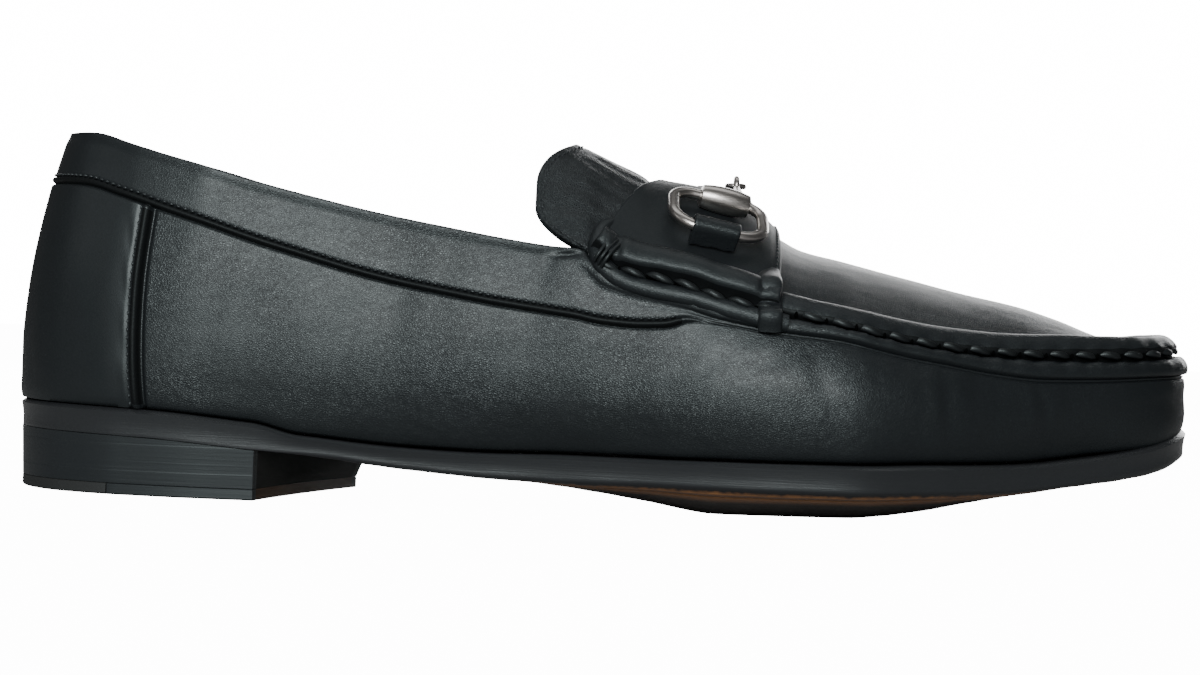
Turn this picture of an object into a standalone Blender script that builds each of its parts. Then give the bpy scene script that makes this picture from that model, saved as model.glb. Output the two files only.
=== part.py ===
# Bit loafer, right shoe, built as its maker's pieces.
# Units are metres. +X runs from heel to toe, -Y is the lateral side, +Z is up from the floor.

import math

import bmesh
import bpy
import numpy as np
from mathutils import Matrix, Vector

# Main sizes of the last and the sole
SOLE_LENGTH = 0.302
BALL_WIDTH = 0.102
WAIST_WIDTH = 0.0625
HEEL_WIDTH = 0.068
SOLE_THICKNESS = 0.0068
HEEL_RISE = 0.0154
EDGE_LIFT = 0.0080
TOE_SPRING = 0.0185
EDGE_BEVEL = 0.0009
SOLE_LEDGE = 0.88

# Heights of the upper's lines above the floor
BACK_HEIGHT = 0.0910
COLLAR_DIP = 0.0654
INSTEP_HEIGHT = 0.0860
TOE_SEAM_HEIGHT = 0.0448

# Shape of the upper's wall in plan
COLLAR_LEAN = 0.0100
WAIST_OVERHANG = 0.0075
FEATHER_MARGIN = 0.0045
RIDGE_SHIFT = 0.0032
ARCH_POWER = 1.7
MEDIAL_RAISE = 0.0010

# Leather thicknesses and raised work
UPPER_WALL = 0.0020
COUNTER_STEP = 0.0007
BAND_STEP = 0.0006
PIPING = 0.0004
ROLL_HEIGHT = 0.0017
APRON_ROLL = 0.0029
APRON_ROLL_WIDTH = 0.0062
COUNTER_FRONT = 0.0360
COUNTER_SEAM = 0.0007
RIM_ROUNDING = 0.0009

# Heel
BREAST_LATERAL = 0.0645
BREAST_MEDIAL = 0.0870
BREAST_UNDERCUT = 0.0030
BREAST_HOLLOW = 0.0012
LIFT_THICKNESS = 0.0028
TIP_LENGTH = 0.0276
TIP_CURVE = 0.0050
HEEL_TAPER = 0.0005

# Insole, tongue, saddle
INSOLE_THICKNESS = 0.0024
INSOLE_CLEARANCE = 0.0006
TONGUE_THICKNESS = 0.0023
TONGUE_REAR = 0.1397
TONGUE_SWEEP = 0.0088
TONGUE_CORNER = 0.0118
TONGUE_FRONT = 0.1830
TONGUE_SIDE_ROOM = 0.0040
TONGUE_DIVE = 0.0034
SADDLE_THICKNESS = 0.0018
SADDLE_FRONT = 0.1925
SADDLE_REAR_RIDGE = 0.1622
SADDLE_REAR_SIDE = 0.1445
SADDLE_ROLL = 0.0026
SADDLE_ROLL_WIDTH = 0.0066
APRON_REAR = 0.1680

# Bit and its keepers
BIT_ALONG = 0.1752
RING_REST = 0.0014
BIT_SHIFT = 0.0010
RING_LENGTH = 0.0257
RING_WIDTH = 0.0173
RING_WIRE = 0.0028
RING_TOP_CORNER = 0.0042
RING_LOW_CORNER = 0.0056
BARREL_LENGTH = 0.0128
BARREL_DIAMETER = 0.0052
BARREL_WAIST = 0.0042
BARREL_SHIFT = 0.0010
EYE_DIAMETER = 0.0061
EYE_WIRE = 0.0015
NECK_ROOT = 0.0072
NECK_TIP = 0.0017
NECK_SHIFT = 0.0026
KEEPER_WIDTH = 0.0117
KEEPER_THICKNESS = 0.0012
KEEPER_SKEW = 0.0009
KEEPER_REACH = 0.0090

# Fit and fineness
GAP = 0.0003
STATIONS = 32
COUNT_ACROSS_APRON = 8


def table(columns, rows):
    names = columns.split()
    return {name: np.array([row[place] for row in rows], float) for place, name in enumerate(names)}


# Plan of the sole: half widths as shares of the three named half widths, swing as a share of the ball's
PLAN = table("along heel waist ball swing", [
    (0.00, 0.000, 0.00, 0.000, 0.000),
    (0.05, 0.750, 0.00, 0.000, 0.000),
    (0.10, 0.926, 0.00, 0.000, 0.000),
    (0.17, 1.000, 0.00, 0.000, 0.000),
    (0.25, 0.550, 0.47, 0.000, -0.010),
    (0.33, 0.000, 1.00, 0.000, -0.049),
    (0.42, 0.000, 0.90, 0.070, -0.088),
    (0.50, 0.000, 0.45, 0.420, -0.108),
    (0.58, 0.000, 0.10, 0.770, -0.098),
    (0.65, 0.000, 0.00, 0.951, -0.049),
    (0.70, 0.000, 0.00, 0.990, -0.010),
    (0.76, 0.000, 0.00, 0.926, 0.036),
    (0.82, 0.000, 0.00, 0.813, 0.085),
    (0.88, 0.000, 0.00, 0.680, 0.122),
    (0.93, 0.000, 0.00, 0.550, 0.138),
    (0.97, 0.000, 0.00, 0.385, 0.146),
    (1.00, 0.000, 0.00, 0.000, 0.150),
])

# Side of the sole: its lower edge from heel rise, edge lift and toe spring, its thickness and its crown
SIDE = table("along heel edge toe thick crown", [
    (0.000, 1.00, 0.00, 0.000, 1.00, 0.00),
    (0.130, 0.93, 0.00, 0.000, 1.00, 0.00),
    (0.210, 0.80, 0.03, 0.000, 0.97, 0.00),
    (0.250, 0.72, 0.09, 0.000, 0.69, 0.00),
    (0.330, 0.42, 0.35, 0.000, 0.78, 0.00),
    (0.415, 0.15, 0.69, 0.000, 0.93, 0.12),
    (0.480, 0.03, 0.90, 0.000, 1.02, 0.38),
    (0.537, 0.00, 1.00, 0.000, 0.98, 0.74),
    (0.600, 0.00, 1.00, 0.000, 1.02, 1.08),
    (0.700, 0.00, 1.00, 0.010, 1.05, 1.08),
    (0.750, 0.00, 0.98, 0.045, 1.05, 0.95),
    (0.800, 0.00, 0.90, 0.100, 1.03, 0.60),
    (0.840, 0.00, 0.70, 0.220, 1.00, 0.34),
    (0.880, 0.00, 0.50, 0.385, 0.97, 0.22),
    (0.927, 0.00, 0.30, 0.570, 0.98, 0.13),
    (0.960, 0.00, 0.12, 0.740, 1.02, 0.06),
    (1.000, 0.00, 0.00, 1.000, 1.04, 0.00),
])

# Wall of the upper: overhang beyond the sole on each side as a share of the waist's, feather margin,
# lean of the top line, and the height of the widest place between feather and top
WALL = table("along lateral medial feather lean widest", [
    (0.00, -0.09, -0.09, 0.10, 0.98, 0.20),
    (0.05, -0.07, -0.07, 0.14, 0.90, 0.21),
    (0.12, 0.00, 0.04, 0.22, 0.62, 0.24),
    (0.20, 0.12, 0.20, 0.27, 0.46, 0.30),
    (0.33, 0.40, 0.62, 0.33, 0.47, 0.36),
    (0.42, 0.56, 1.00, 0.38, 0.50, 0.40),
    (0.50, 0.40, 0.90, 0.45, 0.38, 0.43),
    (0.58, 0.20, 0.62, 0.52, 0.52, 0.43),
    (0.65, 0.08, 0.35, 0.58, 0.74, 0.43),
    (0.72, 0.02, 0.12, 0.64, 0.86, 0.44),
    (0.78, -0.02, 0.02, 0.70, 0.78, 0.46),
    (0.86, -0.06, -0.06, 0.78, 0.52, 0.50),
    (0.93, -0.10, -0.10, 0.88, 0.36, 0.54),
    (1.00, -0.12, -0.12, 1.00, 0.30, 0.58),
])

# Top line of the wall: a mix of back height, collar dip and the seam's height at the toe
TOP_LINE = table("along back dip toe", [
    (0.000, 1.000, 0.000, 0.000),
    (0.050, 0.984, 0.016, 0.000),
    (0.090, 0.880, 0.120, 0.000),
    (0.125, 0.773, 0.227, 0.000),
    (0.160, 0.680, 0.320, 0.000),
    (0.210, 0.531, 0.469, 0.000),
    (0.260, 0.398, 0.602, 0.000),
    (0.310, 0.277, 0.723, 0.000),
    (0.360, 0.176, 0.824, 0.000),
    (0.410, 0.082, 0.918, 0.000),
    (0.450, 0.020, 0.980, 0.000),
    (0.472, 0.000, 1.000, 0.000),
    (0.490, 0.000, 0.780, 0.220),
    (0.510, 0.000, 0.690, 0.310),
    (0.533, 0.000, 0.630, 0.370),
    (0.560, 0.000, 0.550, 0.450),
    (0.583, 0.000, 0.440, 0.560),
    (0.630, 0.000, 0.286, 0.714),
    (0.690, 0.000, 0.146, 0.854),
    (0.770, 0.000, -0.044, 1.044),
    (0.815, 0.000, -0.102, 1.102),
    (0.860, 0.000, -0.117, 1.117),
    (0.905, 0.000, -0.107, 1.107),
    (0.955, 0.000, -0.073, 1.073),
    (1.000, 0.000, 0.000, 1.000),
])

# Depth below the top line of the roll's lower edge and of the collar band's seam, shares of the back height
SEAMS = table("along roll band", [
    (0.000, 0.055, 0.151),
    (0.063, 0.055, 0.154),
    (0.100, 0.055, 0.154),
    (0.160, 0.055, 0.163),
    (0.203, 0.055, 0.171),
    (0.245, 0.055, 0.177),
    (0.294, 0.055, 0.185),
    (0.344, 0.055, 0.188),
    (0.393, 0.052, 0.188),
    (0.442, 0.050, 0.186),
    (0.472, 0.050, 0.190),
    (0.490, 0.050, 0.152),
    (0.530, 0.055, 0.126),
    (0.545, 0.055, 0.113),
    (0.562, 0.054, 0.084),
    (0.594, 0.048, 0.062),
    (0.628, 0.042, 0.054),
    (0.690, 0.030, 0.042),
    (0.770, 0.033, 0.045),
    (0.860, 0.051, 0.064),
    (0.955, 0.048, 0.060),
    (1.000, 0.055, 0.067),
])

# Ridge of tongue and apron, shares of the instep height
RIDGE = table("along height", [
    (0.430, 1.130),
    (0.463, 1.084),
    (0.485, 1.050),
    (0.502, 1.022),
    (0.520, 0.994),
    (0.532, 0.970),
    (0.544, 0.958),
    (0.556, 0.953),
    (0.572, 0.944),
    (0.600, 0.912),
    (0.620, 0.874),
    (0.642, 0.820),
    (0.660, 0.789),
    (0.694, 0.763),
    (0.746, 0.722),
    (0.798, 0.682),
    (0.850, 0.647),
    (0.885, 0.612),
    (0.920, 0.568),
    (0.937, 0.553),
    (0.970, 0.530),
    (1.000, 0.522),
])

# Rows of the wall from feather to top: the two lines that a row lies between, its share of the way up,
# and its relief on the collar and on the apron seam, as shares of band step, piping and roll height
WALL_ROWS = [
    ("feather", "band", 0.00, 0.0, 0.0, 0.0),
    ("feather", "band", 0.09, 0.0, 0.0, 0.0),
    ("feather", "band", 0.24, 0.0, 0.0, 0.0),
    ("feather", "band", 0.42, 0.0, 0.0, 0.0),
    ("feather", "band", 0.62, 0.0, 0.0, 0.0),
    ("feather", "band", 0.82, 0.0, 0.0, 0.0),
    ("feather", "band", 1.00, 0.0, -0.5, -0.2),
    ("band", "roll", 0.14, 1.0, 1.0, 0.0),
    ("band", "roll", 0.36, 1.0, 0.0, 0.0),
    ("band", "roll", 1.00, 1.0, 0.0, 0.0),
    ("roll", "top", 0.26, 0.9, 0.0, 0.85),
    ("roll", "top", 0.64, 0.5, 0.0, 1.0),
    ("roll", "top", 1.00, 0.0, 0.0, -0.1),
]

# Apron edge inside the groove: distance in from it as a share of the roll's width, and its relief
APRON_ROWS = [(0.28, 0.80), (0.58, 1.00), (1.00, 0.10)]

# Edge of the saddle, from its groove inward, as for the apron
SADDLE_ROWS = [(0.00, 0.00), (0.25, 0.85), (0.60, 1.00), (1.00, 0.05)]


def smooth(xs, ys, x):
    # monotone cubic through the rows of a table
    steps = np.diff(xs)
    rises = np.diff(ys) / steps
    slopes = np.concatenate([rises[:1], np.zeros(len(xs) - 2), rises[-1:]])
    for row in range(1, len(xs) - 1):
        before = rises[row - 1]
        after = rises[row]
        if before * after > 0:
            near = 2 * steps[row] + steps[row - 1]
            far = steps[row] + 2 * steps[row - 1]
            slopes[row] = (near + far) / (near / before + far / after)
    x = min(max(x, xs[0]), xs[-1])
    row = min(int(np.searchsorted(xs, x, side="right")) - 1, len(xs) - 2)
    step = steps[row]
    t = (x - xs[row]) / step
    start = (1 + 2 * t) * (1 - t) ** 2 * ys[row] + t * (1 - t) ** 2 * step * slopes[row]
    end = t * t * (3 - 2 * t) * ys[row + 1] - t * t * (1 - t) * step * slopes[row + 1]
    return float(start + end)


def ease(low, high, x):
    t = min(max((x - low) / (high - low), 0.0), 1.0)
    return t * t * (3 - 2 * t)


# Sole, as functions of the share of its length and of the place across it


def half_width(along):
    halves = 0.5 * (PLAN["heel"] * HEEL_WIDTH + PLAN["waist"] * WAIST_WIDTH + PLAN["ball"] * BALL_WIDTH)
    # the squares are interpolated, so that heel and toe come out round
    return math.sqrt(max(smooth(PLAN["along"], halves ** 2, along), 0.0))


def swing(along):
    return 0.5 * BALL_WIDTH * smooth(PLAN["along"], PLAN["swing"], along)


def edge_bottom(along):
    heights = HEEL_RISE * SIDE["heel"] + EDGE_LIFT * SIDE["edge"] + TOE_SPRING * SIDE["toe"]
    return smooth(SIDE["along"], heights, along)


def edge_top(along):
    return edge_bottom(along) + SOLE_THICKNESS * smooth(SIDE["along"], SIDE["thick"], along)


def crown(along):
    return EDGE_LIFT * smooth(SIDE["along"], SIDE["crown"], along)


def across_share(along, y):
    return (y - swing(along)) / max(half_width(along), EDGE_BEVEL)


def sole_bottom(x, y):
    along = x / SOLE_LENGTH
    across = across_share(along, y)
    return max(edge_bottom(along) - crown(along) * max(1 - across ** 2, 0.0), 0.0)


def sole_top(x, y):
    along = x / SOLE_LENGTH
    across = across_share(along, y) / SOLE_LEDGE
    return edge_top(along) - crown(along) * max(1 - across ** 2, 0.0)


# Rim of the sole as columns, from the heel's back along the lateral side to the toe and back


def make_stations():
    seams = [COUNTER_FRONT - COUNTER_SEAM, COUNTER_FRONT, SADDLE_REAR_SIDE, APRON_REAR]
    # the band's seam turns up under the saddle, and needs closer stations there
    seams += [SADDLE_REAR_SIDE + share * (APRON_REAR - SADDLE_REAR_SIDE) for share in (0.25, 0.5, 0.75)]
    seams += [APRON_REAR + share * (SADDLE_FRONT - APRON_REAR) for share in (0.32, 0.62, 0.84, 1.0)]
    fixed = [place / SOLE_LENGTH for place in seams]
    even = [0.5 - 0.5 * math.cos(math.pi * step / STATIONS) for step in range(STATIONS + 1)]
    reach = 0.3 / STATIONS
    free = [along for along in even if all(abs(along - place) > reach for place in fixed)]
    return sorted(free + fixed)


ALONG = make_stations()
LAST = len(ALONG) - 1
COLUMNS = [(along, -1) for along in ALONG] + [(along, 1) for along in ALONG[-2:0:-1]]


def rim_point(along, side):
    return Vector((SOLE_LENGTH * along, swing(along) + side * half_width(along)))


def rim_normals(points):
    count = len(points)
    normals = []
    for place in range(count):
        run = points[(place + 1) % count] - points[place - 1]
        normals.append(Vector((run.y, -run.x)).normalized())
    return normals


RIM = [rim_point(along, side) for along, side in COLUMNS]
RIM_OUT = rim_normals(RIM)


def column_at(station, side):
    if side < 0 or station in (0, LAST):
        return station
    return len(COLUMNS) - station


# Lines of the upper's wall


def wall_value(name, along):
    return smooth(WALL["along"], WALL[name], along)


def top_line(along, side):
    heights = BACK_HEIGHT * TOP_LINE["back"] + COLLAR_DIP * TOP_LINE["dip"] + TOE_SEAM_HEIGHT * TOP_LINE["toe"]
    raised = MEDIAL_RAISE * ease(0.04, 0.15, along) * (1 - ease(0.45, 0.55, along)) * max(side, 0)
    return smooth(TOP_LINE["along"], heights, along) + raised


def wall_line(name, along, side):
    if name == "feather":
        return edge_top(along) + GAP
    if name == "top":
        return top_line(along, side)
    depth = BACK_HEIGHT * smooth(SEAMS["along"], SEAMS[name], along)
    return top_line(along, side) - depth


def wall_inset(along, height, side):
    # distance in from the wall's widest place
    foot = wall_line("feather", along, side)
    head = top_line(along, side)
    widest = foot + (head - foot) * wall_value("widest", along)
    over = WAIST_OVERHANG * wall_value("medial" if side > 0 else "lateral", along)
    if height < widest:
        tuck = over + FEATHER_MARGIN * wall_value("feather", along)
        return tuck * ((widest - height) / (widest - foot)) ** 2
    lean = COLLAR_LEAN * wall_value("lean", along)
    return lean * ((height - widest) / (head - widest)) ** 1.8


def wall_point(column, height):
    along, side = COLUMNS[column]
    over = WAIST_OVERHANG * wall_value("medial" if side > 0 else "lateral", along)
    flat = RIM[column] + RIM_OUT[column] * (over - wall_inset(along, height, side))
    return Vector((flat.x, flat.y, height))


# Groove between wall and apron, and the arch of apron and tongue between its two sides


def make_groove(side):
    places = [column_at(station, side) for station in range(len(ALONG))]
    points = [wall_point(place, top_line(*COLUMNS[place])) for place in places]
    return np.array([(point.x, point.y, point.z) for point in points])


GROOVE = {-1: make_groove(-1), 1: make_groove(1)}


def groove_at(x, side):
    line = GROOVE[side]
    return np.interp(x, line[:, 0], line[:, 1]), np.interp(x, line[:, 0], line[:, 2])


def ridge_y(x):
    near = groove_at(x, -1)[0]
    far = groove_at(x, 1)[0]
    return 0.5 * (near + far) + RIDGE_SHIFT * (1 - ease(0.6, 0.9, x / SOLE_LENGTH))


def arch_height(x, share, side):
    top = INSTEP_HEIGHT * smooth(RIDGE["along"], RIDGE["height"], x / SOLE_LENGTH)
    low = groove_at(x, side)[1]
    return low + (top - low) * (1 - min(abs(share), 1.0) ** ARCH_POWER)


def arch_point(x, share, room=0.0):
    side = 1 if share > 0 else -1
    ridge = ridge_y(x)
    reach = abs(groove_at(x, side)[0] - ridge) - room
    return Vector((x, ridge + share * reach, arch_height(x, share, side)))


def arch_over(x, y):
    side = 1 if y > ridge_y(x) else -1
    ridge = ridge_y(x)
    reach = max(abs(groove_at(x, side)[0] - ridge), GAP)
    return arch_height(x, (y - ridge) / reach, side)


# Solids


def finish(name, mesh_data, material):
    mesh = bpy.data.meshes.new(name)
    bmesh.ops.remove_doubles(mesh_data, verts=mesh_data.verts, dist=0.00002)
    bmesh.ops.dissolve_degenerate(mesh_data, edges=mesh_data.edges, dist=0.00001)
    bmesh.ops.triangulate(mesh_data, faces=mesh_data.faces)
    bmesh.ops.recalc_face_normals(mesh_data, faces=mesh_data.faces)
    mesh_data.to_mesh(mesh)
    mesh_data.free()
    mesh.shade_smooth()
    mesh.set_sharp_from_angle(angle=math.radians(40))
    mesh.materials.append(material)
    thing = bpy.data.objects.new(name, mesh)
    bpy.context.scene.collection.objects.link(thing)
    return thing


def slab(name, upper, lower, material):
    # solid between two grids of points with the same rows and columns
    body = bmesh.new()
    tops = [[body.verts.new(point) for point in row] for row in upper]
    lows = [[body.verts.new(point) for point in row] for row in lower]
    rows = len(upper)
    count = len(upper[0])
    for row in range(rows - 1):
        for place in range(count - 1):
            for grid in (tops, lows):
                corners = [grid[row][place], grid[row][place + 1], grid[row + 1][place + 1], grid[row + 1][place]]
                body.faces.new(corners)
    ring = [(0, place) for place in range(count)]
    ring += [(row, count - 1) for row in range(1, rows)]
    ring += [(rows - 1, place) for place in range(count - 2, -1, -1)]
    ring += [(row, 0) for row in range(rows - 2, 0, -1)]
    # a row whose ends meet is a round end, and needs no wall of its own
    pointed = [row for row in (0, rows - 1) if (upper[row][0] - upper[row][-1]).length < GAP / 10]
    for (row, place), (next_row, next_place) in zip(ring, ring[1:] + ring[:1]):
        if row == next_row and row in pointed:
            continue
        wall = [tops[row][place], tops[next_row][next_place], lows[next_row][next_place], lows[row][place]]
        body.faces.new(wall)
    return finish(name, body, material)


def grid_normals(grid):
    normals = []
    rows = len(grid)
    count = len(grid[0])
    for row in range(rows):
        line = []
        for place in range(count):
            run = grid[min(row + 1, rows - 1)][place] - grid[max(row - 1, 0)][place]
            turn = grid[row][min(place + 1, count - 1)] - grid[row][max(place - 1, 0)]
            normal = run.cross(turn)
            line.append(normal.normalized() if normal.z >= 0 else -normal.normalized())
        normals.append(line)
    return normals


def offset_grid(grid, normals, distance):
    return [[point + normal * distance for point, normal in zip(*pair)] for pair in zip(grid, normals)]


def between(first, last, shares):
    return [first.lerp(last, share) for share in shares]


def leather(name, colour, roughness):
    return plain_material(name, colour, roughness, 0.0)


def plain_material(name, colour, roughness, metallic):
    material = bpy.data.materials.new(name)
    material.use_nodes = True
    shader = material.node_tree.nodes["Principled BSDF"]
    shader.inputs["Base Color"].default_value = (*colour, 1.0)
    shader.inputs["Roughness"].default_value = roughness
    shader.inputs["Metallic"].default_value = metallic
    material.diffuse_color = (*colour, 1.0)
    return material


def rim_inset(place, distance):
    return RIM[place] - RIM_OUT[place] * distance


SOLE_ACROSS = [0.06, 0.22, 0.40, 0.50, 0.60, 0.78, 0.94]


def sole_row(station, insets, heights, surface):
    lateral = column_at(station, -1)
    medial = column_at(station, 1)
    along = ALONG[station]
    near = [rim_inset(lateral, inset).to_3d() for inset in insets]
    far = [rim_inset(medial, inset).to_3d() for inset in insets]
    for point, height in zip(near, heights):
        point.z = height(along)
    for point, height in zip(far, heights):
        point.z = height(along)
    middle = between(near[-1], far[-1], SOLE_ACROSS)
    for point in middle:
        point.z = surface(point.x, point.y)
    return near + middle + far[::-1]


def make_outsole():
    upper = []
    lower = []
    for station in range(len(ALONG)):
        top_heights = [lambda along: edge_top(along) - EDGE_BEVEL, edge_top]
        low_heights = [lambda along: edge_bottom(along) + EDGE_BEVEL, edge_bottom]
        upper.append(sole_row(station, [0.0, EDGE_BEVEL], top_heights, sole_top))
        lower.append(sole_row(station, [HEEL_TAPER, EDGE_BEVEL + HEEL_TAPER], low_heights, sole_bottom))
    slab("outsole", upper, lower, leather("sole_black", (0.020, 0.020, 0.022), 0.35))


def make_insole():
    upper = []
    lower = []
    for station in range(len(ALONG)):
        along = ALONG[station]
        margin = FEATHER_MARGIN * wall_value("feather", along) + UPPER_WALL + INSOLE_CLEARANCE
        lateral = rim_inset(column_at(station, -1), margin).to_3d()
        medial = rim_inset(column_at(station, 1), margin).to_3d()
        low = [lateral] + between(lateral, medial, SOLE_ACROSS) + [medial]
        low = [Vector((point.x, point.y, sole_top(point.x, point.y) + GAP)) for point in low]
        lower.append(low)
        upper.append([point + Vector((0, 0, INSOLE_THICKNESS)) for point in low])
    slab("insole", upper, lower, leather("insole_leather", (0.05, 0.045, 0.04), 0.6))


# Heel: stack, leather lift and rubber tip share one outline, cut by the slanted breast


def heel_point(reach, side, ends, inset):
    # reach runs from 0 at the back to 1 at the line that joins the two ends
    along = reach * ends[side] / SOLE_LENGTH
    step = 0.004
    here = rim_point(along, side)
    if along < 0.5 * step:
        out = Vector((-1.0, 0.0))
    else:
        run = rim_point(along + 0.5 * step, side) - rim_point(max(along - 0.5 * step, 0.0), side)
        out = Vector((-run.y, run.x)).normalized() * side
    return here - out * inset


def heel_grid(ends, reaches, inset, height, hollow):
    grid = []
    for reach in reaches:
        near = heel_point(reach, -1, ends, inset).to_3d()
        far = heel_point(reach, 1, ends, inset).to_3d()
        row = []
        for share in [0.0, 0.17, 0.34, 0.5, 0.66, 0.83, 1.0]:
            point = near.lerp(far, share)
            point.x -= hollow * reach ** 4 * 4 * share * (1 - share)
            point.z = height(point.x)
            row.append(point)
        grid.append(row)
    return grid


def heel_seat(x):
    return edge_bottom(x / SOLE_LENGTH) - GAP


def make_heel():
    reaches = [(step / 12) ** 1.9 for step in range(13)]
    top_ends = {-1: BREAST_LATERAL, 1: BREAST_MEDIAL}
    low_ends = {-1: BREAST_LATERAL, 1: BREAST_MEDIAL - BREAST_UNDERCUT}
    foot = LIFT_THICKNESS + GAP
    upper = heel_grid(top_ends, reaches, HEEL_TAPER, heel_seat, BREAST_HOLLOW)
    lower = heel_grid(low_ends, reaches, 2 * HEEL_TAPER, lambda x: foot, BREAST_HOLLOW)
    slab("heel_stack", upper, lower, leather("heel_black", (0.018, 0.018, 0.019), 0.35))
    tip_ends = {-1: TIP_LENGTH, 1: TIP_LENGTH}
    top = heel_grid(tip_ends, reaches, 2 * HEEL_TAPER, lambda x: LIFT_THICKNESS, -TIP_CURVE)
    low = heel_grid(tip_ends, reaches, 2 * HEEL_TAPER, lambda x: 0.0, -TIP_CURVE)
    slab("heel_tip", top, low, leather("tip_rubber", (0.03, 0.03, 0.03), 0.7))
    make_lift(low_ends, tip_ends)


def make_lift(ends, tip_ends):
    grids = []
    for height in (LIFT_THICKNESS, 0.0):
        grid = []
        for step in range(9):
            share = step / 8
            rows = {}
            for side in (-1, 1):
                start = tip_ends[side] + GAP
                place = start + (ends[side] - start) * share
                rows[side] = heel_point(place / ends[side], side, ends, 2 * HEEL_TAPER).to_3d()
            row = []
            for across in [0.0, 0.17, 0.34, 0.5, 0.66, 0.83, 1.0]:
                point = rows[-1].lerp(rows[1], across)
                bow = 4 * across * (1 - across)
                point.x += bow * (TIP_CURVE * (1 - share) ** 2 - BREAST_HOLLOW * share ** 4)
                point.z = height
                row.append(point)
            grid.append(row)
        grids.append(grid)
    slab("heel_lift", grids[0], grids[1], leather("lift_leather", (0.16, 0.09, 0.05), 0.55))


# Upper: one shell from the feather up the wall and over the apron


def wall_relief(along, side, entry):
    low_name = entry[0]
    share, band, piping, roll = entry[2:]
    seam = ease(0.468, 0.492, along)
    past_band = ease(0.545, 0.575, along)
    collar = BAND_STEP * band * (1 - seam) + PIPING * piping * (1 - past_band)
    if low_name != "roll":
        collar = (BAND_STEP * band + PIPING * piping) * (1 - past_band)
    relief = collar + ROLL_HEIGHT * roll * seam
    if low_name == "feather" and share < 1.0:
        relief += COUNTER_STEP * (1 - ease(COUNTER_FRONT - COUNTER_SEAM, COUNTER_FRONT, along * SOLE_LENGTH))
    if low_name == "roll" and share == 1.0:
        relief -= RIM_ROUNDING * (1 - seam)
    return relief


def upper_surface():
    points = []
    reliefs = []
    faces = []
    count = len(COLUMNS)
    for entry in WALL_ROWS:
        low_name, high_name, share = entry[:3]
        for column, (along, side) in enumerate(COLUMNS):
            low = wall_line(low_name, along, side)
            high = wall_line(high_name, along, side)
            points.append(wall_point(column, low + (high - low) * share))
            reliefs.append(wall_relief(along, side, entry))
    for row in range(len(WALL_ROWS) - 1):
        for column in range(count):
            start = row * count
            beside = (column + 1) % count
            faces.append([start + column, start + beside, start + count + beside, start + count + column])
    first = next(station for station, along in enumerate(ALONG) if along * SOLE_LENGTH > APRON_REAR - GAP)
    above = {column: (len(WALL_ROWS) - 1) * count + column for column in range(count)}
    apron_columns = list(range(first, len(COLUMNS) - first + 1))
    for share, relief in APRON_ROWS:
        ring = {}
        for column in apron_columns:
            edge = wall_point(column, top_line(*COLUMNS[column]))
            flat = edge.to_2d() - RIM_OUT[column] * (share * APRON_ROLL_WIDTH)
            ring[column] = len(points)
            points.append(Vector((flat.x, flat.y, arch_over(flat.x, flat.y))))
            reliefs.append(relief * APRON_ROLL * ease(SADDLE_FRONT + GAP, SADDLE_FRONT + 0.008, edge.x))
        for column in apron_columns[:-1]:
            faces.append([above[column], above[column + 1], ring[column + 1], ring[column]])
        above = ring
    rows = []
    for station in range(first, LAST + 1):
        near = above[column_at(station, -1)]
        far = above[column_at(station, 1)]
        row = [near]
        if station < LAST:
            for step in range(1, COUNT_ACROSS_APRON):
                spot = points[near].lerp(points[far], step / COUNT_ACROSS_APRON)
                row.append(len(points))
                points.append(Vector((spot.x, spot.y, arch_over(spot.x, spot.y))))
                reliefs.append(0.0)
            row.append(far)
        rows.append(row)
    for row, beyond in zip(rows, rows[1:]):
        for place in range(COUNT_ACROSS_APRON):
            if len(beyond) == 1:
                faces.append([row[place], beyond[0], row[place + 1]])
            else:
                faces.append([row[place], beyond[place], beyond[place + 1], row[place + 1]])
    return points, reliefs, faces


def make_upper():
    points, reliefs, faces = upper_surface()
    base = bmesh.new()
    verts = [base.verts.new(point) for point in points]
    for face in faces:
        base.faces.new([verts[place] for place in face])
    bmesh.ops.recalc_face_normals(base, faces=base.faces)
    base.normal_update()
    out = [vert.normal.copy() for vert in verts]
    if out[0].x > 0:
        out = [-normal for normal in out]
    base.verts.index_update()
    border = [(edge.verts[0].index, edge.verts[1].index) for edge in base.edges if edge.is_boundary]
    base.free()
    body = bmesh.new()
    outer = [body.verts.new(point + normal * relief) for point, normal, relief in zip(points, out, reliefs)]
    inner = [body.verts.new(point - normal * UPPER_WALL) for point, normal in zip(points, out)]
    for face in faces:
        body.faces.new([outer[place] for place in face])
        body.faces.new([inner[place] for place in face])
    for start, end in border:
        body.faces.new([outer[start], outer[end], inner[end], inner[start]])
    finish("upper", body, leather("upper_leather", (0.015, 0.016, 0.018), 0.42))


# Tongue: tucked under the apron, up through the throat


HALF_TONGUE = [0.985, 0.93, 0.86, 0.76, 0.62, 0.46, 0.30, 0.14]
TONGUE_SHARES = [-share for share in HALF_TONGUE] + [0.0] + HALF_TONGUE[::-1]


def tongue_rear(share):
    lean = TONGUE_SWEEP * ease(0.0, 0.66, abs(share))
    corner = TONGUE_CORNER * max((abs(share) - 0.80) / 0.20, 0.0) ** 2.2
    return TONGUE_REAR - lean + corner


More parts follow.
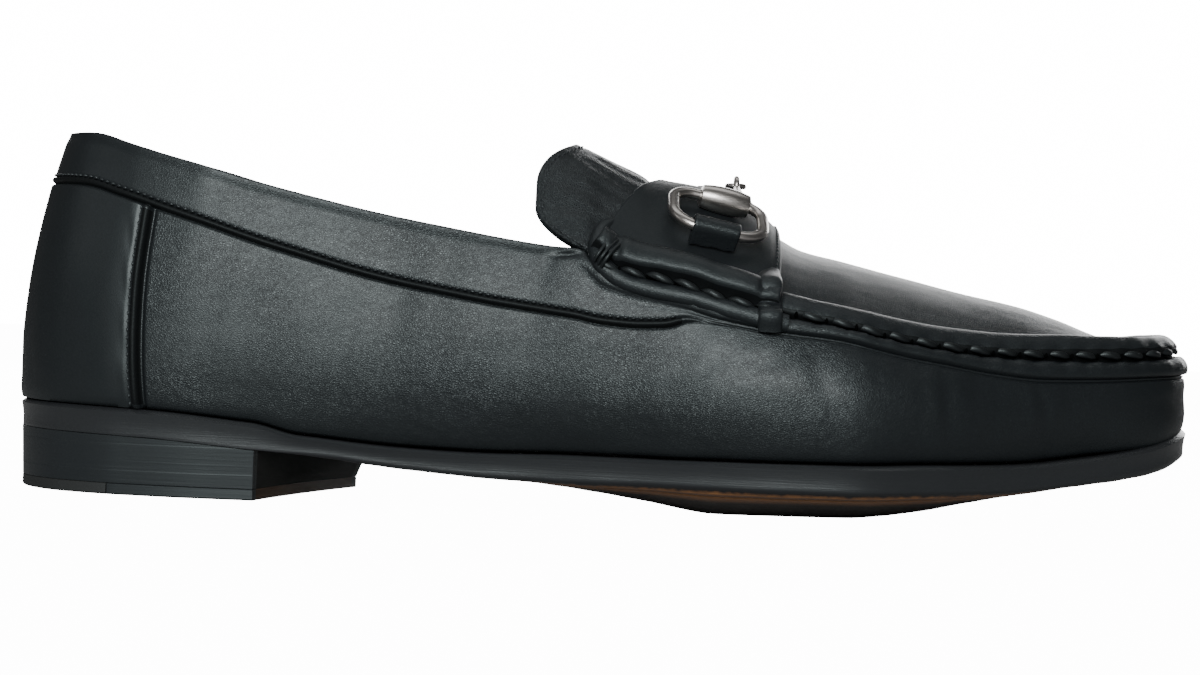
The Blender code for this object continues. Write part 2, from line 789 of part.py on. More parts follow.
def make_tongue():
    lifts = [0.0, 0.14, 0.28, 0.42, 0.56, 0.70, 0.85, 1.0]
    middle = []
    for lift in lifts:
        row = []
        for share in TONGUE_SHARES:
            x = tongue_rear(share) + (TONGUE_FRONT - tongue_rear(share)) * lift
            point = arch_point(x, share, TONGUE_SIDE_ROOM)
            point.z -= TONGUE_DIVE * ease(SADDLE_REAR_RIDGE - 0.004, APRON_REAR - 0.001, x)
            row.append(point)
        middle.append(row)
    normals = grid_normals(middle)
    lower = offset_grid(middle, normals, -TONGUE_THICKNESS)
    slab("tongue", middle, lower, leather("tongue_leather", (0.015, 0.016, 0.018), 0.45))


# Saddle: strap over apron and tongue, its sides rolled down to the groove


def saddle_rear(share):
    return SADDLE_REAR_SIDE + (SADDLE_REAR_RIDGE - SADDLE_REAR_SIDE) * (1 - abs(share) ** 1.15)


def saddle_shares():
    # places across the saddle and the roll's relief there
    reach = 0.044
    edge = [(1 - width * SADDLE_ROLL_WIDTH / reach, relief) for width, relief in SADDLE_ROWS]
    middle = [(0.66, 0.0), (0.46, 0.0), (0.28, 0.0), (0.13, 0.0), (0.0, 0.0)]
    half = edge + middle
    return [(-share, relief) for share, relief in half] + [(share, relief) for share, relief in half[-2::-1]]


def saddle_top(x, y):
    base = Vector((x, y, arch_over(x, y)))
    step = 0.001
    along = Vector((2 * step, 0, arch_over(x + step, y) - arch_over(x - step, y)))
    across = Vector((0, 2 * step, arch_over(x, y + step) - arch_over(x, y - step)))
    normal = along.cross(across).normalized()
    return base + normal * (GAP + SADDLE_THICKNESS), normal


def make_saddle():
    places = saddle_shares()
    base = []
    length = SADDLE_FRONT - SADDLE_REAR_SIDE
    stations = [along * SOLE_LENGTH for along in ALONG]
    inside = [x for x in stations if SADDLE_REAR_SIDE + GAP < x < SADDLE_FRONT - GAP]
    for lift in [0.0] + [(x - SADDLE_REAR_SIDE) / length for x in inside] + [1.0]:
        row = []
        for share, relief in places:
            x = saddle_rear(share) + (SADDLE_FRONT - saddle_rear(share)) * lift
            row.append(arch_point(x, share))
        base.append(row)
    normals = grid_normals(base)
    lower = offset_grid(base, normals, GAP)
    upper = []
    for points, outs in zip(base, normals):
        row = []
        for point, out, (share, relief) in zip(points, outs, places):
            row.append(point + out * (GAP + SADDLE_THICKNESS + SADDLE_ROLL * relief))
        upper.append(row)
    slab("saddle", upper, lower, leather("saddle_leather", (0.014, 0.015, 0.017), 0.38))


# Bit: a frame on each flank of the saddle carries ring, keeper and bit half


def flank(side):
    # the lower limb keeps its distance to the saddle's roll, and the upper one lies a ring's width above
    y_low = groove_at(BIT_ALONG, side)[0] - side * (SADDLE_ROLL_WIDTH + KEEPER_REACH)
    low, low_out = saddle_top(BIT_ALONG, y_low)
    up = Vector((0, -side, 0))
    up = (up - low_out * up.dot(low_out)).normalized()
    y_upper = (low + up * (RING_WIDTH - RING_WIRE)).y
    top, out = saddle_top(BIT_ALONG, y_upper)
    upper_limb = top + out * (0.5 * BARREL_DIAMETER + GAP)
    lower_limb = low + low_out * (0.5 * RING_WIRE + KEEPER_THICKNESS + RING_REST)
    fore_and_aft = 0.3 * RING_LENGTH
    fore = saddle_top(BIT_ALONG + fore_and_aft, y_upper)[0]
    aft = saddle_top(BIT_ALONG - fore_and_aft, y_upper)[0]
    ahead = (fore - aft).normalized()
    down = (lower_limb - upper_limb).normalized()
    ahead = (ahead - down * ahead.dot(down)).normalized()
    out = ahead.cross(down)
    if out.z < 0:
        out = -out
    return upper_limb, ahead, down, out


def flank_matrix(side):
    origin, ahead, down, out = flank(side)
    frame = Matrix((ahead, down, out)).transposed().to_4x4()
    frame.translation = origin
    return frame


def corner_arc(centre, radius, start, end, steps):
    angles = [start + (end - start) * step / steps for step in range(steps + 1)]
    return [Vector((centre[0] + radius * math.cos(angle), centre[1] + radius * math.sin(angle), 0)) for angle in angles]


def ring_path():
    long = 0.5 * (RING_LENGTH - RING_WIRE)
    wide = RING_WIDTH - RING_WIRE
    high = RING_TOP_CORNER
    low = RING_LOW_CORNER
    quarter = 0.5 * math.pi
    path = corner_arc((long - high, high), high, -quarter, 0, 4)
    path += corner_arc((long - low, wide - low), low, 0, quarter, 5)
    path += corner_arc((low - long, wide - low), low, quarter, 2 * quarter, 5)
    path += corner_arc((high - long, high), high, 2 * quarter, 3 * quarter, 4)
    path += [Vector((0, 0, 0))]
    return path


def tube(path, radius, sides):
    # closed round tube along a closed flat path
    body = bmesh.new()
    rings = []
    count = len(path)
    for place in range(count):
        run = (path[(place + 1) % count] - path[place - 1]).normalized()
        aside = Vector((run.y, -run.x, 0))
        ring = []
        for step in range(sides):
            angle = 2 * math.pi * step / sides
            offset = aside * (radius * math.cos(angle)) + Vector((0, 0, radius * math.sin(angle)))
            ring.append(body.verts.new(path[place] + offset))
        rings.append(ring)
    for place in range(count):
        beyond = rings[(place + 1) % count]
        for step in range(sides):
            turn = (step + 1) % sides
            body.faces.new([rings[place][step], rings[place][turn], beyond[turn], beyond[step]])
    return body


def make_ring(side, name, metal):
    body = tube(ring_path(), 0.5 * RING_WIRE, 8)
    bmesh.ops.transform(body, matrix=flank_matrix(side), verts=body.verts)
    finish(name, body, metal)


def turned(profile, sides):
    # solid turned about the local X axis from a closed list of (along, radius)
    body = bmesh.new()
    rings = []
    for along, radius in profile:
        ring = []
        for step in range(sides):
            angle = 2 * math.pi * step / sides
            ring.append(body.verts.new((along, radius * math.cos(angle), radius * math.sin(angle))))
        rings.append(ring)
    for ring, beyond in zip(rings, rings[1:] + rings[:1]):
        for step in range(sides):
            turn = (step + 1) % sides
            body.faces.new([ring[step], ring[turn], beyond[turn], beyond[step]])
    return body


def barrel_body():
    half = 0.5 * BARREL_LENGTH
    bore = 0.5 * RING_WIRE + GAP
    outer = 0.5 * BARREL_DIAMETER
    end = 0.5 * BARREL_WAIST
    profile = [(-half, bore), (-half, end - GAP), (GAP - half, end), (-0.5 * half, 0.5 * (end + outer))]
    profile += [(0, outer), (0.5 * half, 0.5 * (end + outer)), (half - GAP, end), (half, end - GAP), (half, bore)]
    return turned(profile, 12)


def cutter(name, body):
    thing = finish(name, body, plain_material(name, (0.5, 0.5, 0.5), 0.5, 0.0))
    thing.hide_render = True
    thing.display_type = "WIRE"
    return thing


def eye_frame(side):
    # centre of a half's eye: the two eyes are linked over the ridge
    frame = flank_matrix(side)
    root = frame @ Vector((BARREL_SHIFT + NECK_SHIFT, 0, 0))
    x = root.x
    link = 0.5 * (EYE_DIAMETER - 2 * EYE_WIRE) - 0.5 * GAP
    y = ridge_y(BIT_ALONG) - BIT_SHIFT + side * link
    rest = arch_over(x, y) + 2 * GAP + SADDLE_THICKNESS
    return root, Vector((x, y, rest + 0.5 * EYE_DIAMETER))


def neck_body(start, end, frame):
    # wide along the barrel at its root, round at the eye
    body = bmesh.new()
    run = (end - start).normalized()
    wide = frame.col[0].to_3d()
    wide = (wide - run * wide.dot(run)).normalized()
    thick = run.cross(wide)
    rings = []
    for share, spread in ((0.0, 1.0), (0.18, 0.62), (0.42, 0.24), (1.0, 0.0)):
        half_wide = 0.5 * (NECK_TIP + (NECK_ROOT - NECK_TIP) * spread)
        half_thick = 0.5 * (NECK_TIP + 0.3 * (NECK_ROOT - NECK_TIP) * spread)
        ring = []
        for step in range(12):
            angle = 2 * math.pi * step / 12
            offset = wide * (half_wide * math.cos(angle)) + thick * (half_thick * math.sin(angle))
            ring.append(body.verts.new(start.lerp(end, share) + offset))
        rings.append(ring)
    for ring, beyond in zip(rings, rings[1:]):
        for step in range(12):
            turn = (step + 1) % 12
            body.faces.new([ring[step], ring[turn], beyond[turn], beyond[step]])
    body.faces.new(rings[0])
    body.faces.new(rings[-1])
    return body


def make_bit_half(side, name, metal):
    frame = flank_matrix(side)
    body = barrel_body()
    bmesh.ops.translate(body, vec=(BARREL_SHIFT, 0, 0), verts=body.verts)
    bmesh.ops.transform(body, matrix=frame, verts=body.verts)
    half = finish(name, body, metal)
    root, centre = eye_frame(side)
    reach = 0.5 * (EYE_DIAMETER - EYE_WIRE)
    towards = (root - centre).normalized()
    start = root - towards * (0.5 * RING_WIRE + 3 * GAP)
    end = centre + towards * (reach - 0.25 * EYE_WIRE)
    neck = neck_body(start, end, frame)
    circle = corner_arc((0, 0), reach, 0, 2 * math.pi * 17 / 18, 17)
    eye = tube(circle, 0.5 * EYE_WIRE, 6)
    if side < 0:
        # the lateral eye stands upright, the medial one lies flat
        turn = Matrix.Rotation(0.5 * math.pi, 4, "Y")
        bmesh.ops.transform(eye, matrix=turn, verts=eye.verts)
    bmesh.ops.translate(eye, vec=centre, verts=eye.verts)
    for part_name, part in (("neck", neck), ("eye", eye)):
        operand = cutter(name + "_" + part_name, part)
        union = half.modifiers.new(part_name, "BOOLEAN")
        union.operation = "UNION"
        union.solver = "EXACT"
        union.object = operand


def seat_height(frame, across, down):
    # height of the saddle's face in the flank's frame
    out = 0.0
    lean = 0.0
    for attempt in range(4):
        world = frame @ Vector((across, down - lean, out))
        local = frame.inverted() @ saddle_top(world.x, world.y)[0]
        lean += local.y - down
        out = local.z
    return out


def keeper_tail(side):
    # how far a keeper reaches down from the lower limb: to the saddle's roll
    frame = flank_matrix(side)
    limb = frame @ Vector((0, RING_WIDTH - RING_WIRE, 0))
    reach = abs(groove_at(BIT_ALONG, side)[0] - ridge_y(BIT_ALONG)) - SADDLE_ROLL_WIDTH
    level = reach - abs(limb.y - ridge_y(BIT_ALONG)) - 2 * GAP
    return level / abs(frame.col[1].y)


def keeper_section(side, across):
    # the keeper's middle line in the flank's frame: out of the seam, round the lower limb and back
    frame = flank_matrix(side)
    limb = RING_WIDTH - RING_WIRE
    tail = keeper_tail(side)
    radius = 0.5 * RING_WIRE + GAP + 0.5 * KEEPER_THICKNESS
    seat = GAP + 0.5 * KEEPER_THICKNESS
    path = []
    for share in (0.60, 0.30):
        down = limb + share * tail
        path.append((down, min(seat_height(frame, across, down) + seat, -radius)))
    for step in range(12):
        angle = -0.5 * math.pi - 1.35 * math.pi * step / 11
        path.append((limb + radius * math.cos(angle), radius * math.sin(angle)))
    foot = limb + tail
    path.append((foot, seat_height(frame, across, foot) + seat))
    return path


def make_keeper(side, name, material):
    frame = flank_matrix(side)
    grids = {1: [], -1: []}
    for share in (-0.5, -0.17, 0.17, 0.5):
        across = share * KEEPER_WIDTH - KEEPER_SKEW
        path = keeper_section(side, across)
        rows = {1: [], -1: []}
        for place, (down, out) in enumerate(path):
            before = Vector(path[max(place - 1, 0)])
            after = Vector(path[min(place + 1, len(path) - 1)])
            run = (after - before).normalized()
            normal = Vector((-run.y, run.x))
            for face in (1, -1):
                spot = Vector((down, out)) + normal * (0.5 * KEEPER_THICKNESS * face)
                rows[face].append(frame @ Vector((across, spot.x, spot.y)))
        for face in (1, -1):
            grids[face].append(rows[face])
    slab(name, grids[1], grids[-1], material)


def make_bit():
    metal = plain_material("satin_nickel", (0.55, 0.53, 0.50), 0.32, 1.0)
    strap = leather("keeper_leather", (0.014, 0.015, 0.017), 0.35)
    for side, word in ((-1, "lateral"), (1, "medial")):
        make_ring(side, "ring_" + word, metal)
        make_bit_half(side, "bit_half_" + word, metal)
        make_keeper(side, "keeper_" + word, strap)


def centre_on_floor():
    # everything hangs from one empty, moved so that the origin is under the middle of the shoe
    things = [thing for thing in bpy.data.objects if thing.type == "MESH"]
    solids = [thing for thing in things if not thing.hide_render]
    corners = [vert.co for thing in solids for vert in thing.data.vertices]
    lows = [min(corner[axis] for corner in corners) for axis in range(3)]
    highs = [max(corner[axis] for corner in corners) for axis in range(3)]
    root = bpy.data.objects.new("shoe", None)
    bpy.context.scene.collection.objects.link(root)
    root.location = (-0.5 * (lows[0] + highs[0]), -0.5 * (lows[1] + highs[1]), -lows[2])
    for thing in things:
        thing.parent = root


def main():
    for thing in list(bpy.data.objects):
        bpy.data.objects.remove(thing, do_unlink=True)
    make_outsole()
    make_heel()
    make_insole()
    make_upper()
    make_tongue()
    make_saddle()
    make_bit()
    centre_on_floor()


main()
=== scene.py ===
import math

import bmesh
import bpy
import numpy as np
from mathutils import Matrix, Vector


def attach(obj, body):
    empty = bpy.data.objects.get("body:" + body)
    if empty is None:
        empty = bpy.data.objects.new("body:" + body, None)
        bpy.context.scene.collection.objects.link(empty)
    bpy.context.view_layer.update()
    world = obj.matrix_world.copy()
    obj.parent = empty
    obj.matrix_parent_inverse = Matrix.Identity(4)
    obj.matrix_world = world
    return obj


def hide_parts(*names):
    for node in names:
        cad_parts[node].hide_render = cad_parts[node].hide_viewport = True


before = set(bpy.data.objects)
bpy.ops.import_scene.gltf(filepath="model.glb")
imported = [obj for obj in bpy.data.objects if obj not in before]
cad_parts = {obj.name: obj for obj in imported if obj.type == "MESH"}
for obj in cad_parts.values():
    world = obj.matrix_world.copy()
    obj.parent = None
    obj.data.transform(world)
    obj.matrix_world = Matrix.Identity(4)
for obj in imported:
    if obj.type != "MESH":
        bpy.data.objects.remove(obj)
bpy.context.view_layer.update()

# shape is worked out from the back of the heel, then moved to the frame's origin
shift = np.array([-0.150875, 0.000279, 0.0])

shoe = {
    "length": 0.302, "ball": 0.102, "waist": 0.0625, "heel": 0.068,
    "soleThick": 0.0068, "heelRise": 0.0154, "edgeLift": 0.0080, "toeSpring": 0.0185,
    "back": 0.0910, "dip": 0.0654, "instep": 0.0860, "toeSeam": 0.0448,
    "lean": 0.0100, "overhang": 0.0075, "feather": 0.0045, "ridgeShift": 0.0032,
    "archPower": 1.7, "medialRaise": 0.0010, "gap": 0.0003, "wall": 0.0020,
}


def table(columns, rows):
    names = columns.split()
    return {name: np.array([row[place] for row in rows], float) for place, name in enumerate(names)}


plan = table("along heel waist ball swing", [
    (0.00, 0.000, 0.00, 0.000, 0.000), (0.05, 0.750, 0.00, 0.000, 0.000), (0.10, 0.926, 0.00, 0.000, 0.000),
    (0.17, 1.000, 0.00, 0.000, 0.000), (0.25, 0.550, 0.47, 0.000, -0.010), (0.33, 0.000, 1.00, 0.000, -0.049),
    (0.42, 0.000, 0.90, 0.070, -0.088), (0.50, 0.000, 0.45, 0.420, -0.108), (0.58, 0.000, 0.10, 0.770, -0.098),
    (0.65, 0.000, 0.00, 0.951, -0.049), (0.70, 0.000, 0.00, 0.990, -0.010), (0.76, 0.000, 0.00, 0.926, 0.036),
    (0.82, 0.000, 0.00, 0.813, 0.085), (0.88, 0.000, 0.00, 0.680, 0.122), (0.93, 0.000, 0.00, 0.550, 0.138),
    (0.97, 0.000, 0.00, 0.385, 0.146), (1.00, 0.000, 0.00, 0.000, 0.150),
])

side = table("along heel edge toe thick crown", [
    (0.000, 1.00, 0.00, 0.000, 1.00, 0.00), (0.130, 0.93, 0.00, 0.000, 1.00, 0.00),
    (0.210, 0.80, 0.03, 0.000, 0.97, 0.00), (0.250, 0.72, 0.09, 0.000, 0.69, 0.00),
    (0.330, 0.42, 0.35, 0.000, 0.78, 0.00), (0.415, 0.15, 0.69, 0.000, 0.93, 0.12),
    (0.480, 0.03, 0.90, 0.000, 1.02, 0.38), (0.537, 0.00, 1.00, 0.000, 0.98, 0.74),
    (0.600, 0.00, 1.00, 0.000, 1.02, 1.08), (0.700, 0.00, 1.00, 0.010, 1.05, 1.08),
    (0.750, 0.00, 0.98, 0.045, 1.05, 0.95), (0.800, 0.00, 0.90, 0.100, 1.03, 0.60),
    (0.840, 0.00, 0.70, 0.220, 1.00, 0.34), (0.880, 0.00, 0.50, 0.385, 0.97, 0.22),
    (0.927, 0.00, 0.30, 0.570, 0.98, 0.13), (0.960, 0.00, 0.12, 0.740, 1.02, 0.06),
    (1.000, 0.00, 0.00, 1.000, 1.04, 0.00),
])

wall = table("along lateral medial feather lean widest", [
    (0.00, -0.09, -0.09, 0.10, 0.98, 0.20), (0.05, -0.07, -0.07, 0.14, 0.90, 0.21),
    (0.12, 0.00, 0.04, 0.22, 0.62, 0.24), (0.20, 0.12, 0.20, 0.27, 0.46, 0.30),
    (0.33, 0.40, 0.62, 0.33, 0.47, 0.36), (0.42, 0.56, 1.00, 0.38, 0.50, 0.40),
    (0.50, 0.40, 0.90, 0.45, 0.38, 0.43), (0.58, 0.20, 0.62, 0.52, 0.52, 0.43),
    (0.65, 0.08, 0.35, 0.58, 0.74, 0.43), (0.72, 0.02, 0.12, 0.64, 0.86, 0.44),
    (0.78, -0.02, 0.02, 0.70, 0.78, 0.46), (0.86, -0.06, -0.06, 0.78, 0.52, 0.50),
    (0.93, -0.10, -0.10, 0.88, 0.36, 0.54), (1.00, -0.12, -0.12, 1.00, 0.30, 0.58),
])

topTable = table("along back dip toe", [
    (0.000, 1.000, 0.000, 0.000), (0.050, 0.984, 0.016, 0.000), (0.090, 0.880, 0.120, 0.000),
    (0.125, 0.773, 0.227, 0.000), (0.160, 0.680, 0.320, 0.000), (0.210, 0.531, 0.469, 0.000),
    (0.260, 0.398, 0.602, 0.000), (0.310, 0.277, 0.723, 0.000), (0.360, 0.176, 0.824, 0.000),
    (0.410, 0.082, 0.918, 0.000), (0.450, 0.020, 0.980, 0.000), (0.472, 0.000, 1.000, 0.000),
    (0.490, 0.000, 0.780, 0.220), (0.510, 0.000, 0.690, 0.310), (0.533, 0.000, 0.630, 0.370),
    (0.560, 0.000, 0.550, 0.450), (0.583, 0.000, 0.440, 0.560), (0.630, 0.000, 0.286, 0.714),
    (0.690, 0.000, 0.146, 0.854), (0.770, 0.000, -0.044, 1.044), (0.815, 0.000, -0.102, 1.102),
    (0.860, 0.000, -0.117, 1.117), (0.905, 0.000, -0.107, 1.107), (0.955, 0.000, -0.073, 1.073),
    (1.000, 0.000, 0.000, 1.000),
])

seams = table("along roll band", [
    (0.000, 0.055, 0.151), (0.063, 0.055, 0.154), (0.100, 0.055, 0.154), (0.160, 0.055, 0.163),
    (0.203, 0.055, 0.171), (0.245, 0.055, 0.177), (0.294, 0.055, 0.185), (0.344, 0.055, 0.188),
    (0.393, 0.052, 0.188), (0.442, 0.050, 0.186), (0.472, 0.050, 0.190), (0.490, 0.050, 0.152),
    (0.530, 0.055, 0.126), (0.545, 0.055, 0.113), (0.562, 0.054, 0.084), (0.594, 0.048, 0.062),
    (0.628, 0.042, 0.054), (0.690, 0.030, 0.042), (0.770, 0.033, 0.045), (0.860, 0.051, 0.064),
    (0.955, 0.048, 0.060), (1.000, 0.055, 0.067),
])

ridge = table("along height", [
    (0.430, 1.130), (0.463, 1.084), (0.485, 1.050), (0.502, 1.022), (0.520, 0.994), (0.532, 0.970),
    (0.544, 0.958), (0.556, 0.953), (0.572, 0.944), (0.600, 0.912), (0.620, 0.874), (0.642, 0.820),
    (0.660, 0.789), (0.694, 0.763), (0.746, 0.722), (0.798, 0.682), (0.850, 0.647), (0.885, 0.612),
    (0.920, 0.568), (0.937, 0.553), (0.970, 0.530), (1.000, 0.522),
])


def smooth(xs, ys, x):
    steps = np.diff(xs)
    rises = np.diff(ys) / steps
    slopes = np.concatenate([rises[:1], np.zeros(len(xs) - 2), rises[-1:]])
    for row in range(1, len(xs) - 1):
        if rises[row - 1] * rises[row] > 0:
            near = 2 * steps[row] + steps[row - 1]
            far = steps[row] + 2 * steps[row - 1]
            slopes[row] = (near + far) / (near / rises[row - 1] + far / rises[row])
    x = np.clip(x, xs[0], xs[-1])
    row = np.clip(np.searchsorted(xs, x, side="right") - 1, 0, len(xs) - 2)
    step = steps[row]
    t = (x - xs[row]) / step
    start = (1 + 2 * t) * (1 - t) ** 2 * ys[row] + t * (1 - t) ** 2 * step * slopes[row]
    return start + t * t * (3 - 2 * t) * ys[row + 1] - t * t * (1 - t) * step * slopes[row + 1]


def ease(low, high, x):
    t = np.clip((x - low) / (high - low), 0, 1)
    return t * t * (3 - 2 * t)


def bell(x, centre, width):
    return np.exp(-((x - centre) / width) ** 2)


def unit(vectors):
    return vectors / np.linalg.norm(vectors, axis=-1)[..., None]


def runAlong(path):
    return np.concatenate([[0], np.cumsum(np.linalg.norm(np.diff(path, axis=0), axis=1))])


def halfWidth(along):
    halves = 0.5 * sum(plan[name] * shoe[name] for name in ("heel", "waist", "ball"))
    return np.sqrt(np.maximum(smooth(plan["along"], halves ** 2, along), 0))


def swing(along):
    return 0.5 * shoe["ball"] * smooth(plan["along"], plan["swing"], along)


def edgeBottom(along):
    heights = shoe["heelRise"] * side["heel"] + shoe["edgeLift"] * side["edge"]
    heights = heights + shoe["toeSpring"] * side["toe"]
    return smooth(side["along"], heights, along)


def edgeTop(along):
    return edgeBottom(along) + shoe["soleThick"] * smooth(side["along"], side["thick"], along)


def crown(along):
    return shoe["edgeLift"] * smooth(side["along"], side["crown"], along)


def acrossShare(along, y):
    return (y - swing(along)) / np.maximum(halfWidth(along), 0.0009)


def soleBottom(x, y):
    along = x / shoe["length"]
    return np.maximum(edgeBottom(along) - crown(along) * np.maximum(1 - acrossShare(along, y) ** 2, 0), 0)


def soleTop(x, y):
    along = x / shoe["length"]
    across = acrossShare(along, y) / 0.88
    return edgeTop(along) - crown(along) * np.maximum(1 - across ** 2, 0)


def topLine(along, hand):
    heights = shoe["back"] * topTable["back"] + shoe["dip"] * topTable["dip"]
    heights = heights + shoe["toeSeam"] * topTable["toe"]
    raised = ease(0.04, 0.15, along) * (1 - ease(0.45, 0.55, along)) * np.maximum(hand, 0)
    return smooth(topTable["along"], heights, along) + shoe["medialRaise"] * raised


def seamLine(name, along, hand):
    return topLine(along, hand) - shoe["back"] * smooth(seams["along"], seams[name], along)


def overhang(along, hand):
    lateral = smooth(wall["along"], wall["lateral"], along)
    medial = smooth(wall["along"], wall["medial"], along)
    return shoe["overhang"] * np.where(hand > 0, medial, lateral)


def wallInset(along, height, hand):
    foot = edgeTop(along) + shoe["gap"]
    head = topLine(along, hand)
    widest = foot + (head - foot) * smooth(wall["along"], wall["widest"], along)
    tuck = overhang(along, hand) + shoe["feather"] * smooth(wall["along"], wall["feather"], along)
    low = tuck * (np.maximum(widest - height, 0) / (widest - foot)) ** 2
    lean = shoe["lean"] * smooth(wall["along"], wall["lean"], along)
    return low + lean * (np.maximum(height - widest, 0) / (head - widest)) ** 1.8


def rimLoop(count, extra):
    # columns evenly spaced along the sole's edge, lateral side first
    dense = 0.5 - 0.5 * np.cos(np.linspace(0, math.pi, 3000))
    run = runAlong(np.stack([shoe["length"] * dense, swing(dense) - halfWidth(dense)], -1))
    along = np.interp(np.linspace(0, run[-1], count), run, dense)
    places = np.array(extra) / shoe["length"]
    far = np.min(np.abs(along[:, None] - places[None, :]), axis=1) > 0.0004 if len(places) else along > -1
    far[0] = far[-1] = True
    along = np.sort(np.concatenate([along[far], places]))
    loop = np.concatenate([along, along[-2:0:-1]])
    hand = np.concatenate([-np.ones(len(along)), np.ones(len(along) - 2)])
    rim = np.stack([shoe["length"] * loop, swing(loop) + hand * halfWidth(loop)], -1)
    step = np.roll(rim, -1, 0) - np.roll(rim, 1, 0)
    out = unit(np.stack([step[:, 1], -step[:, 0]], -1))
    return loop, hand, rim, out


def wallPoints(loop, height):
    along, hand, rim, out = loop
    flat = rim + out * (overhang(along, hand) - wallInset(along, height, hand))[..., None]
    return np.concatenate([flat, height[..., None] + 0 * flat[..., :1]], -1)


grooveAlong = 0.5 - 0.5 * np.cos(np.linspace(0, math.pi, 900))


def makeGroove(hand):
    rim = np.stack([shoe["length"] * grooveAlong, swing(grooveAlong) + hand * halfWidth(grooveAlong)], -1)
    step = np.gradient(rim, axis=0)
    out = unit(np.stack([step[:, 1], -step[:, 0]], -1)) * -hand
    hands = hand * np.ones(len(rim))
    return wallPoints((grooveAlong, hands, rim, out), topLine(grooveAlong, hands))


groove = {-1: makeGroove(-1), 1: makeGroove(1)}


def grooveAt(x, hand):
    line = groove[hand]
    return np.interp(x, line[:, 0], line[:, 1]), np.interp(x, line[:, 0], line[:, 2])


def ridgeY(x):
    middle = 0.5 * (grooveAt(x, -1)[0] + grooveAt(x, 1)[0])
    return middle + shoe["ridgeShift"] * (1 - ease(0.6, 0.9, x / shoe["length"]))


def archHeight(x, share):
    top = shoe["instep"] * smooth(ridge["along"], ridge["height"], x / shoe["length"])
    low = np.where(share > 0, grooveAt(x, 1)[1], grooveAt(x, -1)[1])
    return low + (top - low) * (1 - np.minimum(np.abs(share), 1.0) ** shoe["archPower"])


def archReach(x, share):
    return np.where(share > 0, grooveAt(x, 1)[0], -grooveAt(x, -1)[0]) - np.where(share > 0, 1, -1) * ridgeY(x)


def archPoints(x, share, room=0.0):
    y = ridgeY(x) + share * (archReach(x, share) - room)
    return np.stack([x, y, archHeight(x, share)], -1)


def archOver(x, y):
    away = y - ridgeY(x)
    return archHeight(x, away / np.maximum(archReach(x, away), 0.0003))


def archNormals(x, y):
    step = 0.0006
    dx = (archOver(x + step, y) - archOver(x - step, y)) / (2 * step)
    dy = (archOver(x, y + step) - archOver(x, y - step)) / (2 * step)
    return unit(np.stack([-dx, -dy, np.ones_like(dx)], -1))


def gridNormals(points, loop):
    across = np.roll(points, -1, 1) - np.roll(points, 1, 1) if loop else np.gradient(points, axis=1)
    normal = np.cross(across, np.gradient(points, axis=0))
    return normal / np.maximum(np.linalg.norm(normal, axis=-1), 1e-12)[..., None]


def waves(x, y, z, scale, seed, octaves=3):
    # sums of sines in fixed random directions: soft unevenness, same at each run
    dice = np.random.RandomState(seed)
    total = 0
    for octave in range(octaves):
        for _ in range(5):
            direction = dice.normal(size=3)
            direction *= scale * 1.9 ** octave / np.linalg.norm(direction)
            angle = direction[0] * x + direction[1] * y + direction[2] * z + dice.uniform(0, 6.28)
            total = total + np.sin(angle) / 1.8 ** octave
    return total / 5


# meshes


def quads(rows, columns, loopAcross=False, loopRows=False, start=0):
    row = np.arange(rows if loopRows else rows - 1)[:, None]
    column = np.arange(columns if loopAcross else columns - 1)[None, :]
    beside = (column + 1) % columns
    above = (row + 1) % rows
    corners = [row * columns + column, row * columns + beside, above * columns + beside, above * columns + column]
    return np.stack(np.broadcast_arrays(*corners), -1).reshape(-1, 4) + start


def fans(rows, sides):
    # end caps of a closed tube, around the two points that follow its rings
    low = rows * sides
    faces = []
    for step in range(sides):
        turn = (step + 1) % sides
        faces.append([low, turn, step])
        faces.append([low + 1, low - sides + step, low - sides + turn])
    return faces


def addPiece(thing, node):
    bpy.context.scene.collection.objects.link(thing)
    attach(thing, "root")
    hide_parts(node)


def makePiece(name, points, faces, materials, node, mark=None, values=None, more={}, sharp=50):
    # the named mark picks each face's material when there are several
    mesh = bpy.data.meshes.new(name)
    points = np.asarray(points).reshape(-1, 3) + shift
    mesh.from_pydata(points.tolist(), [], [list(face) for face in faces])
    marks = {mark: values, **more} if mark else more
    for key, entries in marks.items():
        layer = mesh.attributes.new(key, "FLOAT", "POINT")
        layer.data.foreach_set("value", np.asarray(entries, np.float32).reshape(-1))
    body = bmesh.new()
    body.from_mesh(mesh)
    bmesh.ops.remove_doubles(body, verts=body.verts, dist=0.000002)
    bmesh.ops.dissolve_degenerate(body, edges=body.edges, dist=0.0000005)
    bmesh.ops.recalc_face_normals(body, faces=body.faces)
    body.to_mesh(mesh)
    body.free()
    mesh.shade_smooth()
    mesh.set_sharp_from_angle(angle=math.radians(sharp))
    for material in materials:
        mesh.materials.append(material)
    if len(materials) > 1:
        chosen = mesh.attributes[mark].data
        for polygon in mesh.polygons:
            polygon.material_index = int(min(chosen[vert].value for vert in polygon.vertices) + 0.5)
    addPiece(bpy.data.objects.new(name, mesh), node)


def closedSheet(upper, lower):
    # faces of a solid between two grids of the same rows and columns
    rows, columns = upper.shape[:2]
    count = rows * columns
    ring = [(0, c) for c in range(columns)] + [(r, columns - 1) for r in range(1, rows)]
    ring += [(rows - 1, c) for c in range(columns - 2, -1, -1)] + [(r, 0) for r in range(rows - 2, 0, -1)]
    edge = np.array([r * columns + c for r, c in ring])
    beyond = np.roll(edge, -1)
    walls = np.stack([edge, beyond, beyond + count, edge + count], -1)
    faces = np.concatenate([quads(rows, columns), quads(rows, columns, start=count), walls])
    return np.concatenate([upper.reshape(-1, 3), lower.reshape(-1, 3)]), faces


